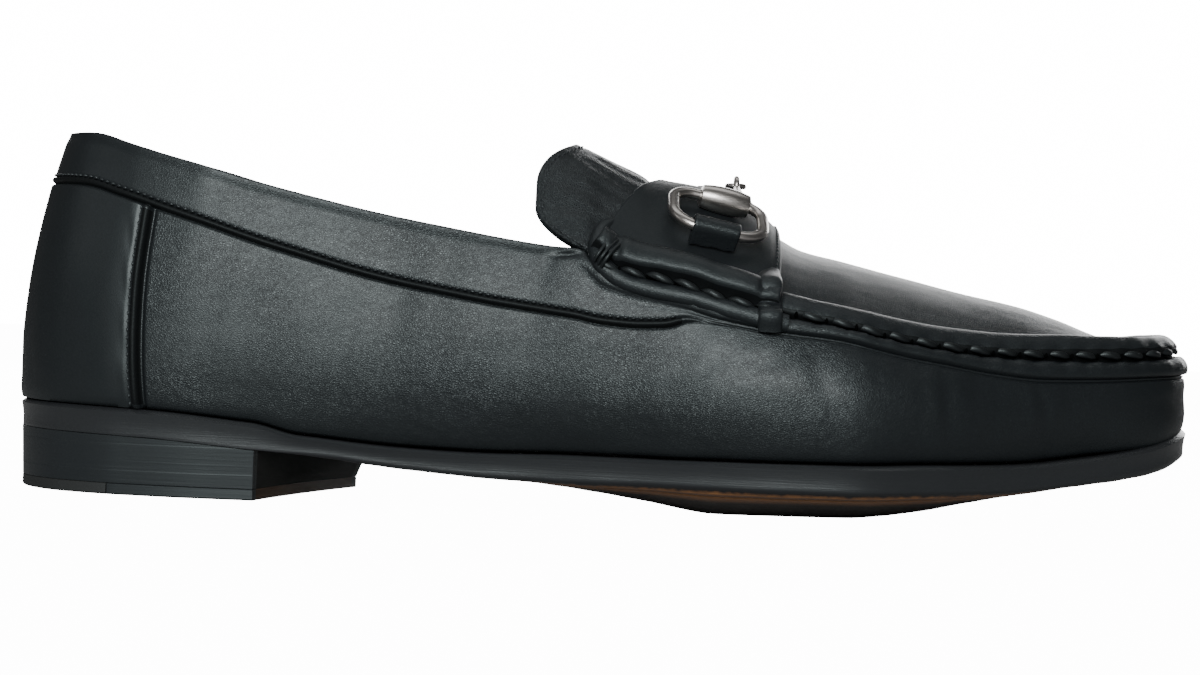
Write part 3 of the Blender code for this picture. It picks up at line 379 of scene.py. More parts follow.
def tubeAlong(path, outs, halfWide, halfThick, sides=16, closed=False):
    # swept round or oval cord: halfWide lies across the path on the surface, halfThick along outs
    path = np.asarray(path, float)
    run = np.roll(path, -1, 0) - np.roll(path, 1, 0) if closed else np.gradient(path, axis=0)
    run = unit(run)
    outs = unit(outs - run * np.sum(outs * run, 1)[:, None])
    aside = np.cross(run, outs)
    angle = np.linspace(0, 2 * math.pi, sides, endpoint=False)[None, :, None]
    wide = np.broadcast_to(halfWide, len(path))[:, None, None]
    thick = np.broadcast_to(halfThick, len(path))[:, None, None]
    points = path[:, None] + aside[:, None] * np.cos(angle) * wide + outs[:, None] * np.sin(angle) * thick
    faces = quads(len(path), sides, loopAcross=True, loopRows=closed).tolist()
    points = points.reshape(-1, 3)
    if not closed:
        points = np.concatenate([points, path[:1], path[-1:]])
        faces += fans(len(path), sides)
    return points, faces


# materials


def setInputs(tree, node, inputs):
    # an output given as a value is linked, any other value is set
    for key, value in inputs.items():
        if isinstance(value, bpy.types.NodeSocket):
            tree.links.new(value, node.inputs[key])
        else:
            node.inputs[key].default_value = value


def nodeIn(tree, kind, inputs={}, out=0, **settings):
    node = tree.nodes.new(kind)
    for key, value in settings.items():
        setattr(node, key, value)
    setInputs(tree, node, inputs)
    return node.outputs[out]


def noise(tree, place, scale, detail=2.0, roughness=0.5, out="Fac"):
    inputs = {"Vector": place, "Scale": scale, "Detail": detail, "Roughness": roughness}
    return nodeIn(tree, "ShaderNodeTexNoise", inputs, out)


def vectorMath(tree, operation, first, second):
    key = "Scale" if operation == "SCALE" else 1
    return nodeIn(tree, "ShaderNodeVectorMath", {0: first, key: second}, operation=operation)


def floatMath(tree, operation, *values):
    return nodeIn(tree, "ShaderNodeMath", dict(enumerate(values)), operation=operation)


def stretched(tree, place, scale):
    return nodeIn(tree, "ShaderNodeMapping", {"Vector": place, "Scale": scale})


def ranged(tree, value, low=0.0, high=1.0, toLow=0.0, toHigh=1.0):
    inputs = {"Value": value, "From Min": low, "From Max": high, "To Min": toLow, "To Max": toHigh}
    return nodeIn(tree, "ShaderNodeMapRange", inputs)


def mixed(tree, share, first, second):
    colours = {6: first, 7: second}
    for key, colour in colours.items():
        if isinstance(colour, tuple):
            colours[key] = (*colour, 1)
    return nodeIn(tree, "ShaderNodeMix", {0: share, **colours}, 2, data_type="RGBA")


def bumped(tree, height, strength, distance, below=None):
    inputs = {"Height": height, "Strength": strength, "Distance": distance}
    if below is not None:
        inputs["Normal"] = below
    return nodeIn(tree, "ShaderNodeBump", inputs)


def newMaterial(name):
    material = bpy.data.materials.new(name)
    material.use_nodes = True
    tree = material.node_tree
    return material, tree, tree.nodes["Principled BSDF"], nodeIn(tree, "ShaderNodeTexCoord", out="Object")


coolTint = (0.86, 1.0, 1.0, 1)
leatherLook = {
    "dark": (0.0065, 0.0082, 0.0095), "light": (0.0100, 0.0120, 0.0138), "rough": 0.36, "shine": 0.42,
    "grainScale": 2000.0, "grain": 0.40, "grainDepth": 0.00016, "fineScale": 2600.0, "fine": 0.18,
    "warpScale": 420.0, "warp": 0.0016, "stretch": (0.8, 1.0, 1.25), "coat": 0.10, "coatRough": 0.30,
    "patchScale": 38.0, "smoothing": -0.85, "wrinkle": 0.0, "wrinkleScale": 160.0, "wrinkleStretch": (0.35, 2.4, 2.4),
}


def leatherMaterial(name, **changes):
    look = dict(leatherLook, **changes)
    material, tree, shader, place = newMaterial(name)
    warp = vectorMath(tree, "SUBTRACT", noise(tree, place, look["warpScale"], 3.0, out="Color"), (0.5, 0.5, 0.5))
    moved = vectorMath(tree, "ADD", place, vectorMath(tree, "SCALE", warp, look["warp"]))
    inputs = {"Vector": stretched(tree, moved, look["stretch"]), "Scale": look["grainScale"]}
    cells = nodeIn(tree, "ShaderNodeTexVoronoi", inputs, "Distance", feature="DISTANCE_TO_EDGE")
    patches = noise(tree, place, look["patchScale"])
    smoothed = nodeIn(tree, "ShaderNodeAttribute", out="Fac", attribute_name="smooth")
    kept = floatMath(tree, "MULTIPLY_ADD", smoothed, look["smoothing"], 1.0)
    strength = floatMath(tree, "MULTIPLY", ranged(tree, patches, 0.3, 0.7, 0.45), kept)
    depth = floatMath(tree, "MULTIPLY", ranged(tree, cells, 0.0, 0.32), strength)
    normal = bumped(tree, depth, look["grain"], look["grainDepth"])
    normal = bumped(tree, noise(tree, place, look["fineScale"], 4.0, 0.6), look["fine"], 0.0001, normal)
    if look["wrinkle"]:
        folds = noise(tree, stretched(tree, moved, look["wrinkleStretch"]), look["wrinkleScale"], 3.0, 0.55)
        normal = bumped(tree, folds, look["wrinkle"], 0.0006, normal)
    setInputs(tree, shader, {
        "Normal": normal, "Base Color": mixed(tree, patches, look["dark"], look["light"]),
        "Roughness": ranged(tree, depth, toLow=look["rough"] + 0.10, toHigh=look["rough"] - 0.06),
        "Specular IOR Level": look["shine"], "Specular Tint": coolTint,
        "Coat Weight": look["coat"], "Coat Roughness": look["coatRough"],
    })
    return material


def plainMaterial(name, colour, rough, bumpScale=0, bump=0.0, shine=0.5):
    material, tree, shader, place = newMaterial(name)
    inputs = {"Base Color": (*colour, 1), "Roughness": rough, "Specular IOR Level": shine, "Specular Tint": coolTint}
    if bump:
        inputs["Normal"] = bumped(tree, noise(tree, place, bumpScale, 4.0), bump, 0.0002)
    setInputs(tree, shader, inputs)
    return material


quarterLeather = leatherMaterial("quarter_leather")
apronLeather = leatherMaterial("apron_leather", grain=0.25, rough=0.40, wrinkle=0.05)
rollLeather = leatherMaterial("roll_leather", grain=0.35, fine=0.14, rough=0.40, coat=0.05)
tongueLeather = leatherMaterial("tongue_leather", grain=1.0, rough=0.40, wrinkle=0.45, wrinkleScale=210.0)
saddleLeather = leatherMaterial("saddle_leather", grain=0.14, fine=0.22, rough=0.48, shine=0.30, coat=0.0)
keeperLeather = leatherMaterial("keeper_leather", grain=0.35, fine=0.14, rough=0.30, coat=0.05)
liningLeather = leatherMaterial("lining_leather", dark=(0.018, 0.017, 0.016), light=(0.026, 0.024, 0.022),
                                rough=0.55, grain=0.15)
sockLeather = leatherMaterial("sock_leather", dark=(0.020, 0.019, 0.018), light=(0.030, 0.028, 0.026),
                              rough=0.5, grain=0.1)
# near-black: the collar band's piping cord, and painted shade in the seam grooves of toe and saddle
pipingAndGrooveShade = plainMaterial("piping_and_groove_shade", (0.004, 0.0045, 0.005), 0.55, 1800, 0.3, 0.2)
thread = plainMaterial("black_thread", (0.016, 0.018, 0.020), 0.42, 4000, 0.4)
cordThread = plainMaterial("waxed_cord", (0.006, 0.007, 0.008), 0.46, 3000, 0.4)
# near-black bodies set in the stitch holes: painted shade in the pits
paintedHoleShade = plainMaterial("painted_hole_shade", (0.001, 0.001, 0.001), 0.9, shine=0.05)
print("materials made")


# upper wall: quarters, counter, collar band and toe wall in one skin

upperLook = {
    "columns": 300, "counterFront": 0.0360, "counterStep": 0.0008, "bandStep": 0.0006, "piping": 0.0011,
    "lowerRoll": 0.0019, "puckerPitch": 0.0024, "unevenness": 0.00022, "toeFill": 0.0030, "seamBow": 0.0012,
}
mocSeam = {"pitch": 0.0073, "start": 0.1925}

# soft troughs on the lateral wall: place along, height, turn in degrees, length, width, depth in metres
wallCreases = [
    (0.1395, 0.0632, 8, 0.0032, 0.0007, 0.0006),
    (0.1360, 0.0618, 60, 0.005, 0.0014, 0.00012),
    (0.0870, 0.0430, 78, 0.022, 0.0030, 0.00022),
    (0.0620, 0.0440, 75, 0.018, 0.0026, 0.00020),
    (0.2330, 0.0300, 98, 0.016, 0.0020, 0.00025),
    (0.2580, 0.0310, 104, 0.014, 0.0018, 0.00022),
    (0.1760, 0.0330, 60, 0.018, 0.0030, 0.00022),
    (0.2050, 0.0260, 110, 0.014, 0.0024, 0.00022),
    (0.1900, 0.0400, 20, 0.016, 0.0024, 0.00020),
    (0.1200, 0.0400, 84, 0.020, 0.0036, 0.00020),
]


def creaseField(x, z):
    total = np.zeros_like(x)
    for along, height, turn, length, width, depth in wallCreases:
        angle = math.radians(turn)
        down = (x - along) * math.cos(angle) + (z - height) * math.sin(angle)
        aside = -(x - along) * math.sin(angle) + (z - height) * math.cos(angle)
        total -= depth * bell(down, 0, length) * (bell(aside, 0, width) - 0.5 * bell(aside, 1.6 * width, width))
    return total


def grooveRun(along):
    # distance along the groove from the heel, used to place stitches and puckers
    return np.interp(along, grooveAlong, runAlong(groove[-1]))


def seamPhase(along):
    return 2 * math.pi * (grooveRun(along) - grooveRun(mocSeam["start"] / shoe["length"])) / mocSeam["pitch"]


counterX = upperLook["counterFront"]
loop = rimLoop(upperLook["columns"], [counterX + step * 0.0004 for step in range(-14, 9)])
along, hand, rim, out = loop
wallX = along * shoe["length"]
fromCounter = wallX - counterX
feather = edgeTop(along) + shoe["gap"]
head = topLine(along, hand)
rollLow = seamLine("roll", along, hand)
bandLow = seamLine("band", along, hand)
toeward = ease(0.468, 0.492, along)
pastBand = ease(0.548, 0.580, along)
forePart = ease(0.55, 0.60, along)
room = np.clip((rollLow - bandLow) / 0.0045, 0.2, 1.0)
heights = []
offsets = []


def addRow(height, offset):
    heights.append(height)
    offsets.append(offset)


def pipingRelief(d):
    cord = upperLook["piping"] * np.sqrt(np.clip(1 - ((d - 0.0008) / 0.00085) ** 2, 0, 1))
    shadow = -0.00035 * bell(d, -0.0002, 0.00035)
    band = upperLook["bandStep"] * ease(0.0012, 0.0022, d) - 0.00015 * bell(d, 0.0018, 0.0003)
    return (np.maximum(cord, band) + shadow) * (1 - pastBand)


def rollRelief(t):
    # lower roll of the toe seam with small gathers
    run = grooveRun(along)
    gathers = 1 + 0.10 * np.sin(2 * math.pi * run / upperLook["puckerPitch"] + 1.5 * np.sin(run * 700)) * t
    body = np.sqrt(np.clip(1 - ((t - 0.42) / 0.50) ** 2, 0, 1))
    pinch = 0.25 * t * (0.5 + 0.5 * np.cos(seamPhase(along)))
    return upperLook["lowerRoll"] * (body * gathers - pinch) - 0.0012 * ease(0.80, 1.0, t)


counterPanel = upperLook["counterStep"] * (1 - ease(-0.0004, 0.0004, fromCounter))
counterFold = 0.00070 * bell(fromCounter, -0.0011, 0.0008) - 0.0009 * bell(fromCounter, 0.0006, 0.0006)
counterRelief = counterPanel + counterFold - 0.00035 * bell(fromCounter, -0.0026, 0.0005)

# shares of the wall's height, distances from the piping, shares of the band, shares of the roll
lowRows = np.concatenate([[0, 0.02, 0.05], np.linspace(0.09, 1.0, 26)])
pipingRows = [-0.0009, -0.0006, -0.0004, *np.arange(-0.0002, 0.0021, 0.0002), 0.0023, 0.0028]
bandRows = [0.18, 0.38, 0.58, 0.78]
rollRows = [0.0, 0.04, 0.09, 0.15, 0.22, 0.30, 0.38, 0.46, 0.54, 0.62, 0.70, 0.77, 0.83, 0.88, 0.93, 0.97]

for share in lowRows:
    tuck = 0.0006 * max(1 - share / 0.05, 0) ** 2
    fullToe = upperLook["toeFill"] * ease(0.90, 0.985, along) * (1 - ease(0.0, 0.75, share))
    addRow(feather + (bandLow - 0.0012 * room - feather) * share, counterRelief - tuck + fullToe)
for d in pipingRows:
    under = -0.0005 * bell(d, 0.0010, 0.0008) * forePart
    addRow(bandLow + d * room, pipingRelief(d) + counterRelief * (1 - ease(-0.0006, 0.0002, d)) + under)
bandStart = bandLow + pipingRows[-1] * room
for share in bandRows:
    addRow(bandStart + (rollLow - bandStart) * share, upperLook["bandStep"] * (1 - pastBand) - 0.0004 * forePart)
for t in rollRows:
    band = upperLook["bandStep"] * (1 - 0.5 * ease(0.3, 0.9, t)) * (1 - pastBand)
    height = rollLow + (head - rollLow - 0.0011 * (1 - toeward)) * t
    addRow(height, band * (1 - toeward) + rollRelief(t) * toeward)

heights = np.array(heights)
base = wallPoints(loop, heights)
# the counter seam bows back at mid height
base[..., 0] -= upperLook["seamBow"] * np.cos((heights - 0.046) / 0.025 * 1.6) * bell(wallX, counterX, 0.012)
normals = gridNormals(base, True)
x, y, z = base[..., 0], base[..., 1], base[..., 2]
fade = ease(0.0, 0.12, (heights - feather) / (head - feather)) * (1 - toeward * ease(-0.002, 0.0, heights - rollLow))
soft = upperLook["unevenness"] * waves(x, y, z, 260, 5) * fade
creased = np.where(hand < 0, creaseField(x, z), creaseField(x + 0.006, z - 0.002))
puckers = 0.00010 * np.sin(heights * 2 * math.pi / 0.0021) * bell(x, counterX - 0.0042, 0.0012) * (heights < bandLow)
outer = base + normals * (np.array(offsets) + soft + creased * fade + puckers)[..., None]

innerHeights = np.array([feather + (head - feather) * share for share in np.linspace(0.94, 0.0, 14)])
innerBase = wallPoints(loop, innerHeights)
inner = innerBase + gridNormals(innerBase[::-1], True)[::-1] * -shoe["wall"]
middle = 0.5 * (outer[-1] + inner[0])
lift = np.zeros_like(middle)
lift[:, 2] = 0.0011 * (1 - toeward) + 0.0002
turns = np.linspace(0, math.pi, 9)[1:-1]
cap = [middle + (outer[-1] - middle) * math.cos(turn) + lift * math.sin(turn) for turn in turns]
skin = np.concatenate([outer, cap, inner])

# 0 is the leather, 1 the lining and 2 the dark piping, also on the counter seam's cord; on the toe roll's top rows 2
# is painted shade in the seam groove
skinPart = np.zeros(skin.shape[:2])
skinPart[len(outer) + 5:] = 1
skinPart[len(lowRows) + 3:len(lowRows) + 13] = np.where(along < 0.556, 2, 0)
skinPart[1:len(lowRows)] = np.where(np.abs(fromCounter + 0.0007) < 0.0014, 2, 0)
# the roll's last rows tuck into the seam groove and are painted dark as shade
skinPart[len(outer) - 4:len(outer)] = np.where(along > 0.495, 2, 0)
smoothMark = np.zeros(skin.shape[:2]) + (1 - ease(0.0355, 0.0375, wallX))
smoothMark[len(lowRows) + 13:] = 1 - ease(0.02, 0.06, wallX)
makePiece("upper_wall", skin, quads(len(skin), len(along), True, True),
          [quarterLeather, liningLeather, pipingAndGrooveShade], "upper",
          "inside", skinPart, {"smooth": smoothMark}, 70)
print("upper wall made", skin.shape)


# apron with its rolled edge

apronShape = {"roll": 0.0030, "rollWidth": 0.0066, "rear": 0.1690, "rows": 46, "wave": 0.08,
              "squeeze": 0.270, "ridgeEnd": 0.290, "toeLift": 0.0017}
insets = np.array([0, 0.0002, 0.0005, 0.0009, 0.0014, 0.0019, 0.0025, 0.0031, 0.0037, 0.0043, 0.0049, 0.0054,
                   0.0058, 0.0062, 0.0065, 0.0068, 0.0072, 0.0078, 0.0086, 0.0096, 0.0110])

# the apron's edge runs from the lateral rear round the toe to the medial rear
keep = np.where(wallX >= apronShape["rear"])[0]
keep = keep[np.argsort(np.where(hand[keep] < 0, along[keep], 2 - along[keep]))]
edgeAlong = along[keep]
edgeX = wallX[keep]
edge = wallPoints((edgeAlong, hand[keep], rim[keep], out[keep]), topLine(edgeAlong, hand[keep]))
edgeOut = np.concatenate([out[keep], np.zeros((len(keep), 1))], -1)
squeeze = apronShape["squeeze"]
squeezed = squeeze + (edgeX - squeeze) * (apronShape["ridgeEnd"] - squeeze) / (shoe["length"] - squeeze)
ridgeX = np.where(edgeX < squeeze, edgeX, squeezed)
centre = np.stack([ridgeX, ridgeY(ridgeX)], -1)
blend = np.linspace(0, 1, apronShape["rows"] - len(insets) + 1)[1:]
stitched = 0.5 + 0.5 * np.cos(seamPhase(edgeAlong))
wavy = 1 + apronShape["wave"] * waves(edge[:, 0], edge[:, 1], 0 * edgeX, 330, 11)
flat = []
apronRelief = []
for inset in insets:
    flat.append(edge[:, :2] - edgeOut[:, :2] * inset)
    body = max(1 - ((inset / apronShape["rollWidth"] - 0.50) / 0.51) ** 2, 0) ** 0.4
    dip = 0.0012 * (1 - ease(0, 0.0008, inset)) + 0.00022 * bell(inset, 0.0068, 0.0006)
    pinch = 0.00045 * stitched * bell(inset, 0.0008, 0.0014)
    apronRelief.append((apronShape["roll"] * body * wavy - dip - pinch) * ease(0.1890, 0.1905, edgeX))
lastRow = flat[-1]
for share in blend:
    flat.append(lastRow + (centre - lastRow) * share)
    apronRelief.append(0 * edgeX)
ax, ay = np.moveaxis(np.array(flat), -1, 0)
az = archOver(ax, ay)
az[0] = edge[:, 2]
skinAt = np.stack([ax, ay, az], -1)
steep = 0.6 * (1 - ease(0, 0.0045, np.concatenate([insets, 0 * blend + 0.02])))[:, None, None]
apronNormals = unit(archNormals(ax, ay) * (1 - steep) + edgeOut[None] * steep)
inField = ease(0.008, 0.016, np.concatenate([insets, 0.011 + 0.02 * blend]))[:, None]
soft = 0.00007 * waves(ax, ay * 3, az, 240, 21) * inField
top = skinAt + apronNormals * (np.array(apronRelief) + soft)[..., None]
# the roll stands fuller round the toe
fuller = np.concatenate([bell(insets, 0.0034, 0.0028), 0 * blend])
top[..., 2] += apronShape["toeLift"] * fuller[:, None] * ease(0.80, 0.94, edgeAlong)
points, faces = closedSheet(top, skinAt - archNormals(ax, ay) * shoe["wall"])
# the inmost row closes on itself along the ridge and needs no wall
count = len(points) // 2
lastStart = count - len(edge)
faces = [face for face in faces.tolist()
         if min(face) < lastStart or min(face) >= count or max(face) < count + lastStart]
part = np.zeros(top.shape[:2])
part[:len(insets) - 4] = 1
# the first rows tuck into the seam groove and take the dark piping colour as painted shade
part[:5] = 2
makePiece("apron", points, faces, [apronLeather, rollLeather, pipingAndGrooveShade], "upper",
          "roll", [part, part], sharp=70)
print("apron made", top.shape)


# insole and outsole share one way of meshing: rings from the middle line out to the edge

soleLook = {
    "bevel": 0.0010, "taper": 0.0005, "edgeHollow": 0.00018, "blackMargin": 0.0022, "channel": 0.0050,
    "channelDepth": 0.0005, "ragged": 0.0012, "grain": 0.00006, "black": (0.016, 0.0175, 0.0195),
    # the dark brown after the tans is painted shade on the underside's middle, near the floor contact
    "tan": (0.22, 0.095, 0.034), "paleTan": (0.36, 0.17, 0.065), "contactShade": (0.030, 0.020, 0.014),
    "middleRear": 0.024, "middleFront": 0.034,
}
soleAlong, _, soleRim, soleOut = rimLoop(230, [])
middleX = soleLook["middleRear"] + soleAlong * (shoe["length"] - soleLook["middleRear"] - soleLook["middleFront"])
middleLine = np.stack([middleX, swing(middleX / shoe["length"])], -1)
topZ = edgeTop(soleAlong)
lowZ = edgeBottom(soleAlong)
bevel = soleLook["bevel"]
# the lower bevel fades out over the heel
lowBevel = bevel * (0.1 + 0.9 * ease(0.062, 0.090, soleAlong * shoe["length"]))
rows = []
insetMarks = []


def soleEdge(distance):
    return soleRim - soleOut * distance


def addSoleRow(flat, height, mark):
    rows.append(np.column_stack([flat, height]))
    insetMarks.append(mark)


for share in np.linspace(0, 1, 9):
    flat = middleLine + (soleEdge(0.006) - middleLine) * share
    addSoleRow(flat, soleTop(flat[:, 0], flat[:, 1]), -1)
for inset in (0.004, 0.0024, 0.0016, 0.0013):
    addSoleRow(soleEdge(inset), topZ, -1)
for turn in (0.25, 0.5, 0.75, 1.0):
    addSoleRow(soleEdge(0.0013 * (1 - turn) + 0.0001), topZ - bevel * turn ** 1.6, -0.5)
for share in np.linspace(0.06, 1, 9):
    inset = soleLook["taper"] * share + soleLook["edgeHollow"] * math.sin(math.pi * share) + 0.0001
    addSoleRow(soleEdge(inset), topZ - bevel - (topZ - lowZ - bevel - lowBevel) * share, 0)
for turn in (0.35, 0.7, 1.0):
    inward = 1 - math.cos(0.5 * math.pi * turn)
    inset = soleLook["taper"] + 0.0001 + lowBevel * inward
    height = lowZ + lowBevel * (1 - math.sin(0.5 * math.pi * turn))
    addSoleRow(soleEdge(inset[:, None]), height, soleLook["taper"] + bevel * inward)
for inset in (0.0022, 0.0030, 0.0040, 0.0045, 0.0048, 0.0052, 0.0055, 0.0060, 0.0070, 0.0090):
    flat = soleEdge(inset)
    cut = soleLook["channelDepth"] * bell(inset, soleLook["channel"], 0.0005)
    addSoleRow(flat, soleBottom(flat[:, 0], flat[:, 1]) + cut, inset)
for share in np.linspace(0, 1, 12)[1:]:
    flat = soleEdge(0.0090) + (middleLine - soleEdge(0.0090)) * share
    addSoleRow(flat, soleBottom(flat[:, 0], flat[:, 1]), 0.009 + 0.02 * share)
skin = np.array(rows)
insetMarks = np.repeat(np.array(insetMarks, float)[:, None], skin.shape[1], 1)
rough = soleLook["grain"] * waves(skin[..., 0], skin[..., 1], skin[..., 2], 700, 31)
skin[..., 2] += rough * (insetMarks > -0.6) * (skin[..., 2] > 0.0008)


def soleMaterial(look):
    material, tree, shader, place = newMaterial("sole")
    mark = nodeIn(tree, "ShaderNodeAttribute", out="Fac", attribute_name="inset")
    ragged = noise(tree, place, 500.0, 4.0)
    inset = floatMath(tree, "MULTIPLY_ADD", ragged, look["ragged"], mark)
    margin = ranged(tree, inset, look["blackMargin"], look["blackMargin"] + 0.0007)
    edged = mixed(tree, margin, look["black"], mixed(tree, ragged, look["tan"], look["paleTan"]))
    lines = noise(tree, stretched(tree, place, (0.04, 0.04, 3.0)), 900.0, 5.0, 0.7)
    setInputs(tree, shader, {
        # inward of the tan margin the underside is painted dark brown: painted shade near the floor contact
        "Base Color": mixed(tree, ranged(tree, inset, 0.0080, 0.0105), edged, look["contactShade"]),
        "Specular Tint": (0.9, 1.0, 1.0, 1), "Coat Weight": 0.25, "Coat Roughness": 0.22,
        "Normal": bumped(tree, lines, 0.35, 0.00015), "Roughness": ranged(tree, lines, toLow=0.28, toHigh=0.44),
    })
    return material

makePiece("sole", skin, quads(len(skin), skin.shape[1], True), [soleMaterial(soleLook)], "outsole",
          "inset", insetMarks, sharp=45)

# the sock's rings: height, extra inset at the edge and share of the way out
sockRings = [(0.0024, 0.002, share) for share in np.linspace(0, 1, 10)[:-1]]
sockRings += [(0.0024, 0.0012, 1), (0.0021, 0.0004, 1), (0.0014, 0.002, 1), (0.0004, 0.002, 1), (0.0, 0.0006, 1)]
sockRings += [(0.0, 0.002, share) for share in np.linspace(1, 0, 8)[1:]]
sockInset = shoe["feather"] * smooth(wall["along"], wall["feather"], soleAlong) + shoe["wall"] + 0.0006
sock = []
for level, more, share in sockRings:
    flat = middleLine + (soleEdge((sockInset + more)[:, None]) - middleLine) * share
    sock.append(np.column_stack([flat, soleTop(flat[:, 0], flat[:, 1]) + shoe["gap"] + level]))
makePiece("insole_sock", sock, quads(len(sock), len(soleAlong), True), [sockLeather],
          "insole", sharp=60)
print("soles made")


# heel: stack, leather lift and rubber tip

heelLook = {"lateral": 0.0645, "medial": 0.0870, "undercut": 0.0030, "hollow": 0.0012, "lift": 0.0028,
            "tip": 0.0276, "curve": 0.0050, "taper": 0.0005, "seat": 0.00006}


def heelEdge(x, hand, inset):
    x = np.maximum(x, 0)
    share = x / shoe["length"]
    ahead = np.clip(share + 0.002, 0, 1)
    behind = np.maximum(share - 0.002, 0)
    sideways = swing(ahead) + hand * halfWidth(ahead) - swing(behind) - hand * halfWidth(behind)
    away = unit(np.stack([-sideways, (ahead - behind) * shoe["length"]], -1) * hand)
    away[x < 0.00001] = (-1, 0)
    return np.stack([x, swing(share) + hand * halfWidth(share)], -1) - away * inset


def heelRing(rearX, ends, inset, hollow, rearCurve):
    # outline of one level: lateral side back, round or curved rear, medial side forward, breast
    reach = np.linspace(1, 0, 70) ** 1.9
    near = heelEdge(rearX + reach * (ends[0] - rearX), -1, inset)
    far = heelEdge(rearX + reach[::-1] * (ends[1] - rearX), 1, inset)
    across = np.linspace(0, 1, 26)[1:-1]
    bow = 4 * across * (1 - across)
    breast = far[-1] + (near[0] - far[-1]) * across[:, None]
    breast[:, 0] -= hollow * bow
    parts = [near, far if rearX else far[1:], breast]
    if rearX:
        rear = near[-1] + (far[0] - near[-1]) * across[:, None]
        rear[:, 0] += rearCurve * bow
        parts.insert(1, rear)
    return np.concatenate(parts), len(breast)


def heelBody(name, rows, rearX, hollow, materials, node):
    # each row: front ends, inset, level and share of the way from that level up to the sole
    grid = []
    for ends, inset, level, share in rows:
        ring, breastCount = heelRing(rearX, ends, inset, hollow, heelLook["curve"])
        seat = edgeBottom(ring[:, 0] / shoe["length"]) - heelLook["seat"]
        grid.append(np.column_stack([ring, level + (seat - level) * share]))
    grid = np.array(grid)
    count = grid.shape[1]
    faces = quads(len(grid), count, loopAcross=True).tolist() + fans(len(grid), count)
    points = np.concatenate([grid.reshape(-1, 3), grid[0].mean(0)[None], grid[-1].mean(0)[None]])
    mark = np.tile(np.arange(count) >= count - breastCount, len(grid))
    makePiece(name, points, faces, materials, node, "breast", [*mark, 0, 0], sharp=35)


def stackMaterial(name, colour, lineColour, wavy, roughness=0.42):
    material, tree, shader, place = newMaterial(name)
    moved = vectorMath(tree, "ADD", place, vectorMath(tree, "SCALE", noise(tree, place, 22.0, out="Color"), wavy))
    lines = noise(tree, stretched(tree, moved, (0.03, 0.03, 2.2)), 800.0, 5.0, 0.65)
    layers = nodeIn(tree, "ShaderNodeTexWave", {"Vector": moved, "Scale": 48.0}, "Fac",
                    bands_direction="Z", wave_profile="SAW")
    deep = floatMath(tree, "SUBTRACT", lines, ranged(tree, layers, 0.95))
    setInputs(tree, shader, {
        "Base Color": mixed(tree, ranged(tree, lines, 0.62, 0.70), colour, lineColour),
        "Normal": bumped(tree, deep, 0.2, 0.0002), "Roughness": roughness, "Specular Tint": coolTint,
    })
    return material


stackBlack = stackMaterial("stack_black", (0.0120, 0.0140, 0.0160), (0.020, 0.023, 0.025), 0.0006)
breastBrown = stackMaterial("breast_brown", (0.0075, 0.0065, 0.0055), (0.026, 0.020, 0.014), 0.0030, 0.65)
liftTan = stackMaterial("lift_tan", (0.050, 0.030, 0.018), (0.16, 0.085, 0.040), 0.0020, 0.6)
tipRubber = plainMaterial("tip_rubber", (0.018, 0.018, 0.018), 0.65, 900, 0.4)

tip = heelLook["tip"]
lift = heelLook["lift"]
taper = heelLook["taper"]
blockRows = []
blockLevels = ((1.0, 0.0002), (0.995, 0), (0.95, 0), (0.7, 0), (0.4, 0), (0.05, 0), (0.006, 0), (0.0, 0.00015))
for share, more in blockLevels:
    ends = (heelLook["lateral"], heelLook["medial"] - heelLook["undercut"] * (1 - share))
    blockRows.append((ends, taper * (2 - share) + more, lift + heelLook["seat"], share))
heelBody("heel_block", blockRows, 0.0, heelLook["hollow"], [stackBlack, breastBrown], "heel_stack")
liftLevels = ((lift, 0.00015), (lift - 0.00015, 0.0), (0.0004, 0.0), (0.0, 0.0004))
lowEnds = (heelLook["lateral"], heelLook["medial"] - heelLook["undercut"])
liftRows = [(lowEnds, 2 * taper + more, level, 0) for level, more in liftLevels]
heelBody("heel_top_piece", liftRows, tip + shoe["gap"], heelLook["hollow"], [stackBlack, liftTan],
         "heel_lift")
tipRows = [((tip, tip), 2 * taper + more, level, 0) for level, more in liftLevels]
heelBody("heel_tip_rubber", tipRows, 0.0, -heelLook["curve"], [tipRubber], "heel_tip")
print("heel made")


def edgeRound(distance, radius):
    # how far a rounded sheet's face drops near its edge
    t = np.clip(1 - distance / radius, 0, 1)
    return radius * (1 - np.sqrt(np.clip(1 - t ** 2, 0, 1)))


# tongue

tongueShape = {"rear": 0.1397, "sweep": 0.0088, "corner": 0.0118, "front": 0.1830, "room": 0.0040,
               "dive": 0.0034, "thick": 0.0023, "side": 0.985, "seam": 0.0021}
shares = np.sin(np.linspace(-0.5, 0.5, 91) * math.pi) * tongueShape["side"]
steps = np.concatenate([[0, 0.004, 0.009, 0.016, 0.025, 0.036, 0.050], np.linspace(0.068, 1, 44)])
rear = tongueShape["rear"] - tongueShape["sweep"] * ease(0, 0.66, np.abs(shares))
rear = rear + tongueShape["corner"] * np.maximum((np.abs(shares) - 0.8) / 0.2, 0) ** 2.2
tx = rear + (tongueShape["front"] - rear) * steps[:, None]
ts = np.repeat(shares[None, :], len(steps), 0)
tongueBase = archPoints(tx, ts, tongueShape["room"])
tongueBase[..., 2] -= tongueShape["dive"] * ease(0.1582, 0.1670, tx)
tongueNormals = gridNormals(tongueBase[:, ::-1], False)[:, ::-1]
tongueNormals *= np.where(tongueNormals[..., 2:] < 0, -1, 1)
fromEdge = np.minimum(tx - rear, (tongueShape["side"] - np.abs(ts)) * archReach(tx, ts) * 1.25)
drop = edgeRound(fromEdge, 0.0010)
ribs = np.sin(tongueBase[..., 1] * 2 * math.pi / 0.0052 + 2.4 * np.sin(tx * 130))
